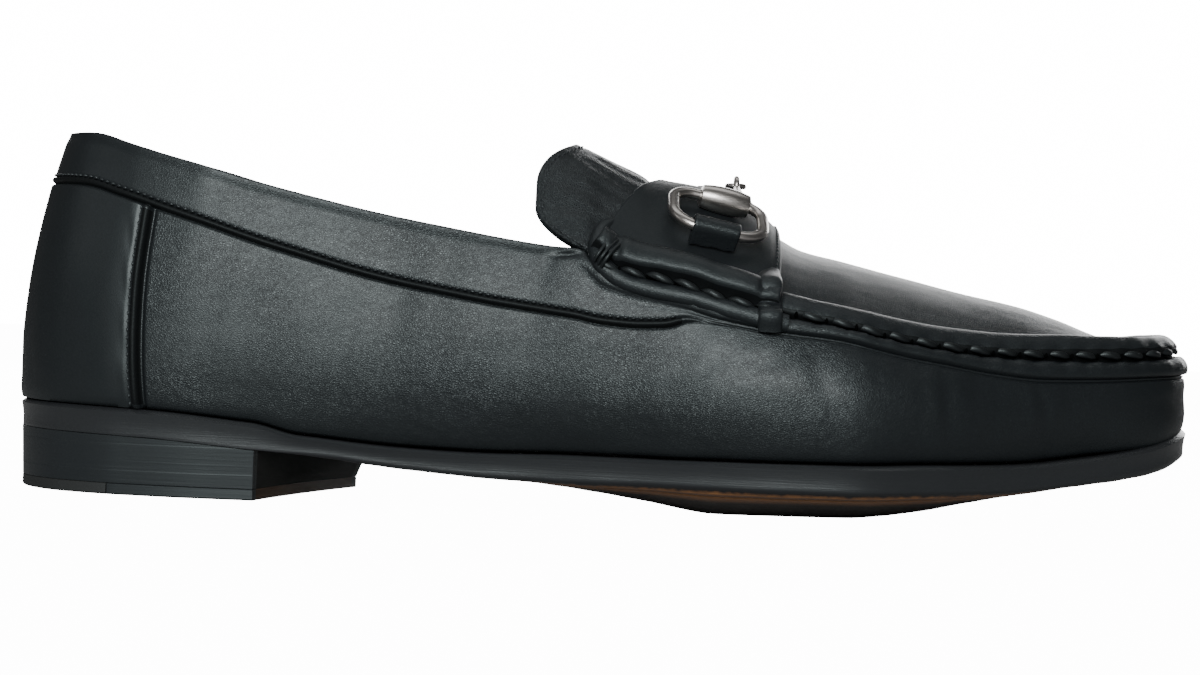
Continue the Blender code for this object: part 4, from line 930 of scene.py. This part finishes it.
relief = 0.00016 * ribs * ease(0.003, 0.010, fromEdge) - 0.00022 * bell(fromEdge, tongueShape["seam"], 0.0004) - drop
relief += 0.00020 * waves(tx, tongueBase[..., 1] * 2.5, tongueBase[..., 2], 230, 41)
lower = tongueBase - tongueNormals * (tongueShape["thick"] - drop)[..., None]
points, faces = closedSheet(tongueBase + tongueNormals * relief[..., None], lower)
makePiece("tongue_leather", points, faces, [tongueLeather], "tongue", sharp=70)

# saddle, its sides rolled down to the seam

saddleShape = {"front": 0.1925, "frontBow": 0.0020, "rearRidge": 0.1622, "rearSide": 0.1445, "thick": 0.0018,
               "roll": 0.0037, "rollWidth": 0.0068}
half = 1 - np.concatenate([[0, 0.004, 0.010, 0.018], np.linspace(0.028, 0.20, 18), np.linspace(0.22, 1, 34)])
shares = np.concatenate([-half, half[-2::-1]])
steps = np.concatenate([[0, 0.004, 0.009, 0.016, 0.025, 0.036], np.linspace(0.055, 0.95, 56),
                        [0.968, 0.980, 0.988, 0.994, 1.0]])
rearLength = saddleShape["rearRidge"] - saddleShape["rearSide"]
rear = saddleShape["rearSide"] + rearLength * (1 - np.abs(shares) ** 1.15)
front = saddleShape["front"] - saddleShape["frontBow"] * np.abs(shares) ** 3
sx = rear + (front - rear) * steps[:, None]
ss = np.repeat(shares[None, :], len(steps), 0)
saddleBase = archPoints(sx, ss)
saddleNormals = archNormals(sx, saddleBase[..., 1])
saddleNormals[..., 0] *= 0.7
fromSide = (1 - np.abs(ss)) * archReach(sx, ss) * 1.12
rollBody = np.clip(1 - ((fromSide / saddleShape["rollWidth"] - 0.50) / 0.52) ** 2, 0, 1) ** 0.425
slant = fromSide - 0.004
pinches = bell(sx, 0.1515 + 0.10 * slant, 0.0011) + 0.8 * bell(sx, 0.1868 + 0.12 * slant, 0.0009)
unevenRoll = 1 + 0.13 * waves(sx, 0 * sx, 0 * sx, 420, 51)
relief = (saddleShape["roll"] * unevenRoll - 0.0012 * pinches) * rollBody
relief -= 0.0016 * (1 - ease(0, 0.0009, fromSide)) + 0.0004 * bell(fromSide, 0.0071, 0.0005)
relief -= 0.00020 * bell(front - sx, 0.0017, 0.0003) * (fromSide > 0.008)
relief += 0.00012 * waves(sx, saddleBase[..., 1], saddleBase[..., 2], 300, 52) * ease(0.007, 0.012, fromSide)
relief -= edgeRound(np.maximum(np.minimum(sx - rear, front - sx), 0), 0.0008)
upper = saddleBase + saddleNormals * (shoe["gap"] + saddleShape["thick"] + relief)[..., None]
points, faces = closedSheet(upper, saddleBase + saddleNormals * shoe["gap"])
# the side's edge, tucked into the seam groove, takes the dark piping colour as painted shade
part = (fromSide < 0.0074).astype(float) + (fromSide < 0.0008)
makePiece("saddle_strap", points, faces, [saddleLeather, rollLeather, pipingAndGrooveShade], "saddle",
          "roll", [part, part], sharp=70)


def flankPoint(x, z, hand):
    # place on wall or saddle with this length and height
    grooveZ = grooveAt(x, hand)[1]
    top = shoe["instep"] * smooth(ridge["along"], ridge["height"], x / shoe["length"])
    lowShare = np.clip(1 - (z - grooveZ) / (top - grooveZ), 0, 1) ** (1 / shoe["archPower"])
    share = x / shoe["length"]
    hands = np.full_like(x, hand)
    high = ridgeY(x) + hand * lowShare * archReach(x, hands)
    bulge = overhang(share, hands) - wallInset(share, np.minimum(z, topLine(share, hands)), hands)
    low = swing(share) + hand * (halfWidth(share) + bulge)
    return np.stack([x, np.where(z > grooveZ, high, low), z], -1)


def densify(path, step=0.0008):
    path = np.asarray(path, float)
    run = runAlong(path)
    fine = np.linspace(0, run[-1], max(int(run[-1] / step), 4))
    for _ in range(2):
        path = np.stack([smooth(run, path[:, k], fine) for k in range(path.shape[1])], -1)
        run = fine
    return path


sides = ((-1, "lateral"), (1, "medial"))

# lower roll under the saddle: along the seam, then up round its rear corner
lowerRollPath = [
    (0.1930, 0.0484), (0.1880, 0.0492), (0.1790, 0.0513), (0.1700, 0.0537), (0.1620, 0.0550), (0.1550, 0.0566),
    (0.1505, 0.0588), (0.1476, 0.0618), (0.1466, 0.0652), (0.1474, 0.0686), (0.1500, 0.0712), (0.1530, 0.0718),
]
# short leather band that closes both rolls at the saddle's front
frontBand = {"along": 0.1888, "top": 0.0612, "foot": 0.0462, "halfWidth": 0.0029, "halfThick": 0.0010}
for hand, word in sides:
    px, pz = densify(lowerRollPath).T
    outs = unit(np.stack([0 * px, hand + 0 * px, 0.35 + 0.5 * ease(0.058, 0.070, pz)], -1))
    uneven = waves(px, pz, 0 * px, 500, 61)
    tail = ease(0, 0.12, np.linspace(1, 0, len(px)))
    spots = flankPoint(px, pz, hand) + outs * (0.0009 + 0.0002 * uneven)[:, None]
    wide = (0.0023 + 0.00018 * uneven - 0.0003 * bell(px, 0.1711, 0.0006)) * (0.45 + 0.55 * tail)
    points, faces = tubeAlong(spots, outs, wide, 0.0021 * (0.4 + 0.6 * tail), 22)
    makePiece("lower_roll_" + word, points, faces, [rollLeather], "saddle", sharp=80)

    pz = np.linspace(frontBand["top"], frontBand["foot"], 44)
    bulge = 0.0054 * bell(pz, 0.0562, 0.0032) + 0.0036 * bell(pz, 0.0490, 0.0022) + 0.0006
    outs = unit(np.stack([0 * pz, hand + 0 * pz, 0.45 + 0 * pz], -1))
    spots = flankPoint(0 * pz + frontBand["along"], pz, hand) + outs * bulge[:, None]
    points, faces = tubeAlong(spots, outs, frontBand["halfWidth"], frontBand["halfThick"], 20)
    makePiece("front_band_" + word, points, faces, [rollLeather], "saddle", sharp=80)
print("tongue and saddle made")


# bit and keepers

bitShape = {
    "along": 0.1752, "shift": 0.0010, "rest": 0.0014, "length": 0.0257, "width": 0.0200, "wire": 0.0028,
    "topCorner": 0.0052, "lowCorner": 0.0070, "barrel": 0.0128, "thick": 0.0069, "end": 0.0054, "barrelShift": 0.0018,
    "eye": 0.0056, "eyeWire": 0.0014, "neckRoot": 0.0078, "neckTip": 0.0018, "neckShift": 0.0038,
    "keeper": 0.0117, "keeperThick": 0.0012, "skew": 0.0009, "reach": 0.0068, "rollWidth": 0.0066,
}


def saddleTop(x, y):
    x = np.array([float(x)])
    y = np.array([float(y)])
    normal = archNormals(x, y)[0]
    return np.array([x[0], y[0], archOver(x, y)[0]]) + normal * (shoe["gap"] + saddleShape["thick"]), normal


def flankFrame(hand):
    b = bitShape
    x = b["along"]
    lowY = grooveAt(x, hand)[0] - hand * (b["rollWidth"] + b["reach"])
    low, lowOut = saddleTop(x, lowY)
    up = np.array([0, -hand, 0.0])
    up = unit(up - lowOut * up.dot(lowOut))
    highY = (low + up * (b["width"] - b["wire"]))[1]
    top, out = saddleTop(x, highY)
    upperLimb = top + out * (0.0026 + shoe["gap"])
    lowerLimb = low + lowOut * (0.5 * b["wire"] + b["keeperThick"] + b["rest"])
    ahead = unit(saddleTop(x + 0.0077, highY)[0] - saddleTop(x - 0.0077, highY)[0])
    down = unit(lowerLimb - upperLimb)
    ahead = unit(ahead - down * ahead.dot(down))
    out = np.cross(ahead, down)
    return upperLimb, ahead, down, out if out[2] > 0 else -out


def toWorld(frameAt, local):
    origin, ahead, down, out = frameAt
    local = np.asarray(local, float)
    return origin + local[..., :1] * ahead + local[..., 1:2] * down + local[..., 2:3] * out


def arcPoints(centre, radius, start, end, count):
    turn = np.linspace(start, end, count)
    return np.stack([centre[0] + radius * np.cos(turn), centre[1] + radius * np.sin(turn), 0 * turn], -1)


def lathe(profile, sides, centre, axis, aside):
    across = np.cross(axis, aside)
    turn = np.linspace(0, 2 * math.pi, sides, endpoint=False)
    ring = np.cos(turn)[:, None] * aside + np.sin(turn)[:, None] * across
    points = centre + profile[:, None, :1] * axis + profile[:, None, 1:2] * ring[None]
    return points.reshape(-1, 3), quads(len(profile), sides, True, True)


def joinParts(parts):
    points = []
    faces = []
    total = 0
    for some, corners in parts:
        points.append(some)
        faces += [[vert + total for vert in face] for face in corners]
        total += len(some)
    return np.concatenate(points), faces


def metalMaterial():
    material, tree, shader, place = newMaterial("satin_nickel")
    lines = noise(tree, stretched(tree, place, (0.25, 1.6, 1.6)), 1500.0, 4.0, 0.7)
    setInputs(tree, shader, {
        "Base Color": (0.50, 0.48, 0.455, 1), "Metallic": 1.0, "Normal": bumped(tree, lines, 0.15, 0.0001),
        "Roughness": ranged(tree, lines, toLow=0.20, toHigh=0.42),
    })
    return material


metal = metalMaterial()


def makeRing(word, frameAt):
    b = bitShape
    reach = 0.5 * (b["length"] - b["wire"])
    wide = b["width"] - b["wire"]
    high = b["topCorner"]
    low = b["lowCorner"]
    quarter = 0.5 * math.pi
    path = toWorld(frameAt, np.concatenate([
        arcPoints((reach - high, high), high, -quarter, 0, 12),
        arcPoints((reach - low, wide - low), low, 0, quarter, 14),
        arcPoints((low - reach, wide - low), low, quarter, 2 * quarter, 14),
        arcPoints((high - reach, high), high, 2 * quarter, 3 * quarter, 12),
    ]))
    outs = np.tile(frameAt[3], (len(path), 1))
    points, faces = tubeAlong(path, outs, 0.53 * b["wire"], 0.47 * b["wire"], 24, closed=True)
    makePiece("ring_metal_" + word, points, faces, [metal], "ring_" + word, sharp=60)


def makeHalf(hand, word, frameAt):
    # barrel round the ring's upper limb, neck and linked eye
    b = bitShape
    origin, ahead, _, out = frameAt
    bore = 0.5 * b["wire"] + 0.0001
    share = np.linspace(-1, 1, 41)
    swell = 0.5 * (b["end"] + (b["thick"] - b["end"]) * (1 - np.abs(share) ** 2.2))
    shoulder = np.sqrt(np.clip(1 - np.clip((np.abs(share) - 0.93) / 0.07, 0, 1) ** 2, 0, 1))
    swell = bore + (swell - bore) * (0.25 + 0.75 * shoulder)
    place = share * 0.5 * b["barrel"] + b["barrelShift"]
    profile = np.concatenate([np.stack([place, swell], -1), [(place[-1], bore), (place[0], bore)]])
    barrel = lathe(profile, 32, origin, ahead, out)

    root = origin + ahead * (b["barrelShift"] + b["neckShift"])
    link = 0.5 * (b["eye"] - 2 * b["eyeWire"]) - 0.00015
    eyeY = ridgeY(np.array([b["along"]])) - b["shift"] + hand * link
    rest = archOver(root[:1], eyeY)[0] + saddleShape["thick"] + 0.0010
    eyeCentre = np.array([root[0], eyeY[0], rest + 0.5 * b["eye"]])
    towards = unit(root - eyeCentre)
    reach = 0.5 * (b["eye"] - b["eyeWire"])
    start = root - towards * 0.0012
    t = np.linspace(0, 1, 18)
    line = start + (eyeCentre + towards * reach * 0.9 - start) * t[:, None]
    line[:, 2] += 0.0006 * np.sin(math.pi * t)
    flare = (b["neckRoot"] - b["neckTip"]) * (1 - t) ** 2.6
    normal = np.tile(unit(np.cross(ahead, towards)), (len(t), 1))
    neck = tubeAlong(line, normal, 0.5 * (b["neckTip"] + flare), 0.5 * (b["neckTip"] + 0.3 * flare), 20)

    # one eye stands upright and the other lies flat in it
    circle = arcPoints((0, 0), reach, 0, 2 * math.pi, 33)[:-1]
    axis = [0, 0, 1.0]
    if hand < 0:
        circle = np.roll(circle, 1, 1)
        axis = [1.0, 0, 0]
    thickness = 0.5 * b["eyeWire"]
    eye = tubeAlong(circle + eyeCentre, np.tile(axis, (len(circle), 1)), thickness, thickness, 14, closed=True)
    points, faces = joinParts([barrel, neck, eye])
    makePiece("bit_metal_" + word, points, faces, [metal], "bit_half_" + word, sharp=50)


def seatHeight(frameAt, across, down):
    # height of the saddle under a point of the ring's plane
    origin, ahead, downward, out = frameAt
    height = 0.0
    lean = 0.0
    for _ in range(4):
        world = origin + ahead * across + downward * (down - lean) + out * height
        local = saddleTop(world[0], world[1])[0] - origin
        lean += local.dot(downward) - down
        height = local.dot(out)
    return height


def makeKeeper(hand, word, frameAt):
    # strap that comes up from the roll, wraps the ring's lower limb and goes back down on itself
    b = bitShape
    limb = b["width"] - b["wire"]
    radius = 0.5 * b["wire"] + 0.0003 + 0.5 * b["keeperThick"]
    limbY = (frameAt[0] + frameAt[2] * limb)[1]
    middleY = ridgeY(np.array([b["along"]]))[0]
    reach = archReach(np.array([b["along"]]), np.array([float(hand)]))[0]
    tail = (reach - b["rollWidth"] - abs(limbY - middleY) - 0.0006) / abs(frameAt[2][1]) + 0.0002
    seatLift = 0.0003 + 0.5 * b["keeperThick"]
    turn = -0.5 * math.pi - 1.32 * math.pi * np.linspace(0, 1, 30)
    wrap = list(zip(limb + radius * np.cos(turn), radius * np.sin(turn)))
    lines = []
    widths = np.concatenate([[-0.5, -0.492, -0.475, -0.45], np.linspace(-0.4, 0.4, 17), [0.45, 0.475, 0.492, 0.5]])
    for place in widths:
        across = place * b["keeper"] - b["skew"]
        line = []
        for share in (0.60, 0.30):
            seat = seatHeight(frameAt, across, limb + share * tail) + seatLift
            line.append((limb + share * tail, min(seat, -radius)))
        line += wrap
        foot = limb + tail
        seat = seatHeight(frameAt, across, foot) + seatLift
        last = wrap[-1]
        for share in (0.3, 0.6, 0.85, 1.0):
            fold = 0.00016 * math.sin(place * 15 + 1.0) * share + 0.0003 * math.sin(math.pi * share)
            line.append((last[0] + (foot - last[0]) * share, last[1] + (seat - last[1]) * share + fold))
        lines.append([(across, *spot) for spot in line])
    middle = np.array(lines)
    run = unit(np.gradient(middle[..., 1:], axis=1))
    normal = np.stack([0 * run[..., 0], -run[..., 1], run[..., 0]], -1)
    fromEdge = ((0.5 - np.abs(widths)) * b["keeper"])[:, None, None]
    body = 0.5 * b["keeperThick"] - edgeRound(fromEdge, 0.0005)
    high = toWorld(frameAt, middle - normal * (body - 0.00018 * bell(fromEdge, 0.0013, 0.0003)))
    points, faces = closedSheet(high, toWorld(frameAt, middle + normal * body))
    makePiece("keeper_strap_" + word, points, faces, [keeperLeather], "keeper_" + word, sharp=60)


for hand, word in sides:
    frameAt = flankFrame(hand)
    makeRing(word, frameAt)
    makeHalf(hand, word, frameAt)
    makeKeeper(hand, word, frameAt)
print("bit made")


# stitches follow paths on the surface, laid by one node tree


def stitchTree():
    tree = bpy.data.node_groups.new("stitch_line", "GeometryNodeTree")
    for name, kind in (("Geometry", "Geometry"), ("Pitch", "Float"), ("Stitch", "Object"), ("Jitter", "Float"),
                       ("Seed", "Int"), ("Material", "Material")):
        tree.interface.new_socket(name, in_out="INPUT", socket_type="NodeSocket" + kind)
    tree.interface.new_socket("Geometry", in_out="OUTPUT", socket_type="NodeSocketGeometry")
    entry = tree.nodes.new("NodeGroupInput").outputs
    curve = nodeIn(tree, "GeometryNodeMeshToCurve", {"Mesh": entry["Geometry"]})
    spaced = nodeIn(tree, "GeometryNodeResampleCurve", {"Curve": curve, "Length": entry["Pitch"]}, mode="LENGTH")
    outward = nodeIn(tree, "GeometryNodeInputNamedAttribute", {"Name": "out"}, "Attribute", data_type="FLOAT_VECTOR")
    axes = {"Primary Axis": outward, "Secondary Axis": nodeIn(tree, "GeometryNodeInputTangent")}
    aim = nodeIn(tree, "FunctionNodeAxesToRotation", axes, primary_axis="Z", secondary_axis="X")
    source = nodeIn(tree, "GeometryNodeObjectInfo", {"Object": entry["Stitch"]}, "Geometry")
    smallest = floatMath(tree, "SUBTRACT", 1.0, entry["Jitter"])
    largest = floatMath(tree, "ADD", 1.0, entry["Jitter"])
    # the float sockets of the random value node are told apart by their index
    limits = {2: smallest, 3: largest, "Seed": entry["Seed"]}
    dice = nodeIn(tree, "FunctionNodeRandomValue", limits, 1, data_type="FLOAT")
    inputs = {"Points": spaced, "Instance": source, "Rotation": aim, "Scale": dice}
    laid = nodeIn(tree, "GeometryNodeInstanceOnPoints", inputs)
    real = nodeIn(tree, "GeometryNodeRealizeInstances", {"Geometry": laid})
    paint = nodeIn(tree, "GeometryNodeSetMaterial", {"Geometry": real, "Material": entry["Material"]})
    setInputs(tree, tree.nodes.new("NodeGroupOutput"), {"Geometry": paint})
    return tree


stitches = stitchTree()


def threadStitch(name, length, radius, twists=0.0, slant=0.0, sides=10, rings=13, flat=1.0):
    # one stitch lying along X, fullest in the middle, its ends dipping into the leather
    t = np.linspace(0, 1, rings)[:, None]
    full = radius * np.sin(math.pi * np.clip(t, 0.02, 0.98)) ** (0.75 if twists else 0.55)
    turn = np.linspace(0, 2 * math.pi, sides, endpoint=False)[None, :]
    if twists:
        full = full * (1 + 0.10 * np.cos(2 * (turn - 2 * math.pi * twists * t)))
    x = (t - 0.5) * length + 0 * turn
    y = full * np.cos(turn)
    z = flat * full * np.sin(turn) - 0.9 * radius * (2 * np.abs(t - 0.5)) ** 3
    cosine, sine = math.cos(slant), math.sin(slant)
    points = np.stack([x * cosine - y * sine, x * sine + y * cosine, z], -1).reshape(-1, 3)
    faces = quads(rings, sides, loopAcross=True).tolist()
    faces.append(list(range(sides))[::-1])
    faces.append([(rings - 1) * sides + step for step in range(sides)])
    mesh = bpy.data.meshes.new(name)
    mesh.from_pydata(points.tolist(), [], faces)
    mesh.shade_smooth()
    return bpy.data.objects.new(name, mesh)


def layStitches(name, path, outs, pitch, stitch, material, slot, node, jitter=0.05, seed=1):
    mesh = bpy.data.meshes.new(name + "_path")
    path = np.asarray(path) + shift
    mesh.from_pydata(path.tolist(), [(k, k + 1) for k in range(len(path) - 1)], [])
    layer = mesh.attributes.new("out", "FLOAT_VECTOR", "POINT")
    layer.data.foreach_set("vector", np.asarray(outs, np.float32).reshape(-1))
    guide = bpy.data.objects.new(name + "_path", mesh)
    bpy.context.scene.collection.objects.link(guide)
    modifier = guide.modifiers.new("stitches", "NODES")
    modifier.node_group = stitches
    values = {"Pitch": pitch, "Stitch": stitch, "Jitter": jitter, "Seed": seed, "Material": material}
    for item in stitches.interface.items_tree:
        if item.in_out == "INPUT" and item.name in values:
            modifier[item.identifier] = values[item.name]
    guide.data.update()
    bpy.context.view_layer.update()
    view = bpy.context.evaluated_depsgraph_get()
    made = bpy.data.meshes.new_from_object(guide.evaluated_get(view))
    made.name = name
    bpy.data.objects.remove(guide)
    addPiece(bpy.data.objects.new(name, made), node)


# pitch of each row, then how far the rows lie from seam, edge and surface
stitchLook = {
    "band": 0.0019, "counter": 0.0020, "edge": 0.0021, "saddle": 0.0066, "counterBack": 0.0026,
    "bandRaised": 0.00027, "toeStart": 0.0015, "toeLift": 0.0010, "toeRaised": 0.0011, "toeHole": 0.0007,
    "saddleRaised": 0.0027, "saddleHole": 0.0019, "frontEnd": 0.962, "frontSide": 0.0085,
}
fineStitch = threadStitch("fine_stitch", 0.00145, 0.00032)
edgeStitch = threadStitch("edge_stitch", 0.00165, 0.00024)
mocStitch = threadStitch("moc_stitch", 0.0071, 0.00100, 0.6, math.radians(-7), sides=20, rings=33, flat=0.8)
# a flat black body for each stitch hole, painted shade
holeShadeBody = threadStitch("seam_hole", 0.0013, 0.0008, sides=14, rings=11, flat=0.7)

# above the piping, from the lateral end round the back to the medial end
wallHand = loop[1]
bandRow = len(lowRows) + 14
banded = np.where(along < 0.552)[0][::-1]
banded = np.concatenate([banded[wallHand[banded] < 0], banded[wallHand[banded] > 0]])
bandOut = normals[bandRow][banded]
layStitches("band_stitches", outer[bandRow][banded] + bandOut * stitchLook["bandRaised"], bandOut, stitchLook["band"],
            fineStitch, thread, "upper_leather", "upper", seed=3)



def counterLine(grid, columns):
    # the wall's rows where they cross the line of stitches behind the counter seam
    place = -stitchLook["counterBack"]
    return [[np.interp(place, fromCounter[columns], grid[row][columns][:, k]) for k in range(3)]
            for row in range(1, len(lowRows))]


for hand, word in sides:
    columns = np.where((wallHand == hand) & (wallX > 0.028) & (wallX < 0.040))[0]
    columns = columns[np.argsort(wallX[columns])]
    layStitches("counter_stitches_" + word, counterLine(outer, columns), counterLine(normals, columns),
                stitchLook["counter"], fineStitch, thread, "upper_leather", "upper", seed=4)


def cutPath(path, outs, run, start, end):
    fine = np.linspace(start, end, 400)
    return [np.stack([np.interp(fine, run, some[:, k]) for k in range(3)], -1) for some in (path, outs)]


# hand-sewn stitches of the toe seam, with the hole that each one pulls in the roll, each hole a black body as painted
# shade in the pit
inToe = edgeX > mocSeam["start"] + stitchLook["toeStart"]
toeOut = unit(edgeOut[inToe] * 0.92 + np.array([0, 0, 0.30]))
toePath = edge[inToe] + np.array([0, 0, stitchLook["toeLift"]])
toeTip = ease(0.285, 0.298, toePath[:, :1])
toeSpots = toePath + toeOut * (stitchLook["toeRaised"] - 0.0008 * toeTip)
toeHoleShadeSpots = toePath + toeOut * (stitchLook["toeHole"] - 0.0012 * toeTip)
run = runAlong(toeSpots)
pitch = run[-1] / round(run[-1] / mocSeam["pitch"])
layStitches("toe_stitches", *cutPath(toeSpots, toeOut, run, 0.5 * pitch, run[-1] - 0.5 * pitch), pitch,
            mocStitch, cordThread, "upper_leather", "upper", 0.06, 8)
layStitches("toe_holes", *cutPath(toeHoleShadeSpots, toeOut, run, 0, run[-1]), pitch,
            holeShadeBody, paintedHoleShade, "upper_leather", "upper", 0.08, 9)

saddleSeam = [(0.1490, 0.0602), (0.1538, 0.0590), (0.1608, 0.0578), (0.1690, 0.0560), (0.1761, 0.0538),
              (0.1831, 0.0522), (0.1885, 0.0513)]
for hand, word in sides:
    px, pz = densify(saddleSeam).T
    spots = flankPoint(px, pz, hand)
    outs = np.tile(unit(np.array([0, hand, 0.45])), (len(spots), 1))
    layStitches("saddle_stitches_" + word, spots + outs * stitchLook["saddleRaised"], outs, stitchLook["saddle"],
                mocStitch, cordThread, "saddle_leather", "saddle", 0.06, 12)
    # black bodies in the saddle seam's holes: painted shade in the pits
    holes = spots + outs * stitchLook["saddleHole"]
    layStitches("saddle_holes_" + word, holes[4:], outs[4:], stitchLook["saddle"],
                holeShadeBody, paintedHoleShade, "saddle_leather", "saddle", 0.06, 13)

# strands that whip the roll's rear end down
whip = {"strands": 3, "along": 0.1462, "height": 0.0606, "apart": 0.0009, "drop": 0.0007, "length": 0.0054,
        "rise": 0.0060, "radius": 0.00048, "raised": 0.0030, "bow": 0.0024}
t = np.linspace(0, 1, 18)
for hand, word in sides:
    outs = np.tile(unit(np.array([0, hand, 0.55])), (len(t), 1))
    strands = []
    for step in range(whip["strands"]):
        px = whip["along"] + whip["apart"] * step + t * whip["length"]
        pz = whip["height"] - whip["drop"] * step + t * whip["rise"]
        over = whip["raised"] + whip["bow"] * np.sin(math.pi * t) ** 0.6
        spots = flankPoint(px, pz, hand) + outs * over[:, None]
        strands.append(tubeAlong(spots, outs, whip["radius"], whip["radius"], 12))
    points, faces = joinParts(strands)
    makePiece("whip_stitches_" + word, points, faces, [cordThread], "saddle", sharp=80)

# fine stitches inside the edges of tongue and saddle
columns = np.arange(2, tx.shape[1] - 2)
rows = np.argmin(np.abs(tx - tx[0] - tongueShape["seam"]), axis=0)[columns]
edgeOuts = tongueNormals[rows, columns]
layStitches("tongue_stitches", tongueBase[rows, columns] + edgeOuts * 0.00005, edgeOuts, stitchLook["edge"],
            edgeStitch, thread, "tongue_leather", "tongue", seed=5)
frontRow = np.argmin(np.abs(steps - stitchLook["frontEnd"]))
shown = fromSide[frontRow] > stitchLook["frontSide"]
frontOut = saddleNormals[frontRow][shown]
frontSpots = saddleBase[frontRow][shown] + frontOut * (shoe["gap"] + saddleShape["thick"] + 0.00002)
layStitches("saddle_front_stitches", frontSpots, frontOut, stitchLook["edge"], edgeStitch, thread,
            "saddle_leather", "saddle", seed=6)
print("stitches made")


# plain floor, soft light, and the photograph's camera

light = {"top": 2.4, "front": 17.0, "back": 14.0, "left": 0.6, "sky": 0.07, "backdrop": 16.0, "floor": 14.0}
photoCamera = {"focalPixels": 2474, "width": 1200, "place": (0.1483, -0.640, 0.0472), "tilt": -0.347, "roll": 2.3}


def areaLight(name, place, target, size, power):
    data = bpy.data.lights.new(name, "AREA")
    data.shape = "RECTANGLE"
    data.size, data.size_y = size
    data.energy = power
    lamp = bpy.data.objects.new(name, data)
    bpy.context.scene.collection.objects.link(lamp)
    lamp.location = place
    lamp.rotation_euler = (Vector(target) - Vector(place)).to_track_quat("-Z", "Y").to_euler()


areaLight("top_softbox", (0.0, 0.10, 1.1), (0.0, 0.0, 0.05), (1.2, 0.5), light["top"])
areaLight("front_softbox", (-0.14, -1.15, 0.46), (0.0, 0.0, 0.05), (0.66, 0.48), light["front"])
areaLight("back_softbox", (0.15, 1.1, 0.40), (0.05, 0.0, 0.06), (1.6, 0.50), light["back"])
areaLight("left_softbox", (-1.2, -0.4, 0.5), (-0.1, 0.0, 0.05), (0.5, 0.4), light["left"])

floorMesh = bpy.data.meshes.new("floor")
floorMesh.from_pydata([(-4, -4, 0), (4, -4, 0), (4, 4, 0), (-4, 4, 0)], [], [(0, 1, 2, 3)])
paleFloor = plainMaterial("pale_floor", (0.28, 0.28, 0.28), 0.8, shine=0.1)
floorMesh.materials.append(paleFloor)
floor = bpy.data.objects.new("floor", floorMesh)
bpy.context.scene.collection.objects.link(floor)

# the camera sees floor and backdrop as bright as the photograph's paper, the shoe sees them softer
world = bpy.data.worlds.new("studio")
bpy.context.scene.world = world
world.use_nodes = True
tree = world.node_tree
seen = nodeIn(tree, "ShaderNodeLightPath", out="Is Camera Ray")
strength = ranged(tree, seen, toLow=light["sky"], toHigh=light["backdrop"])
setInputs(tree, tree.nodes["Background"], {"Color": (1, 1, 1, 1), "Strength": strength})
tree = paleFloor.node_tree
seen = nodeIn(tree, "ShaderNodeLightPath", out="Is Camera Ray")
glow = floatMath(tree, "MULTIPLY", seen, light["floor"])
setInputs(tree, tree.nodes["Principled BSDF"], {"Emission Color": (1, 1, 1, 1), "Emission Strength": glow})

lens = bpy.data.cameras.new("photo_camera")
lens.sensor_width = 36
lens.lens = photoCamera["focalPixels"] * lens.sensor_width / photoCamera["width"]
lens.clip_start = 0.01
camera = bpy.data.objects.new("photo_camera", lens)
bpy.context.scene.collection.objects.link(camera)
bpy.context.scene.camera = camera
stand = Matrix.Translation(Vector(photoCamera["place"]) + Vector(shift))
tilt = Matrix.Rotation(math.radians(90 + photoCamera["tilt"]), 4, "X")
camera.matrix_world = stand @ tilt @ Matrix.Rotation(math.radians(photoCamera["roll"]), 4, "Z")

print("scene ready")
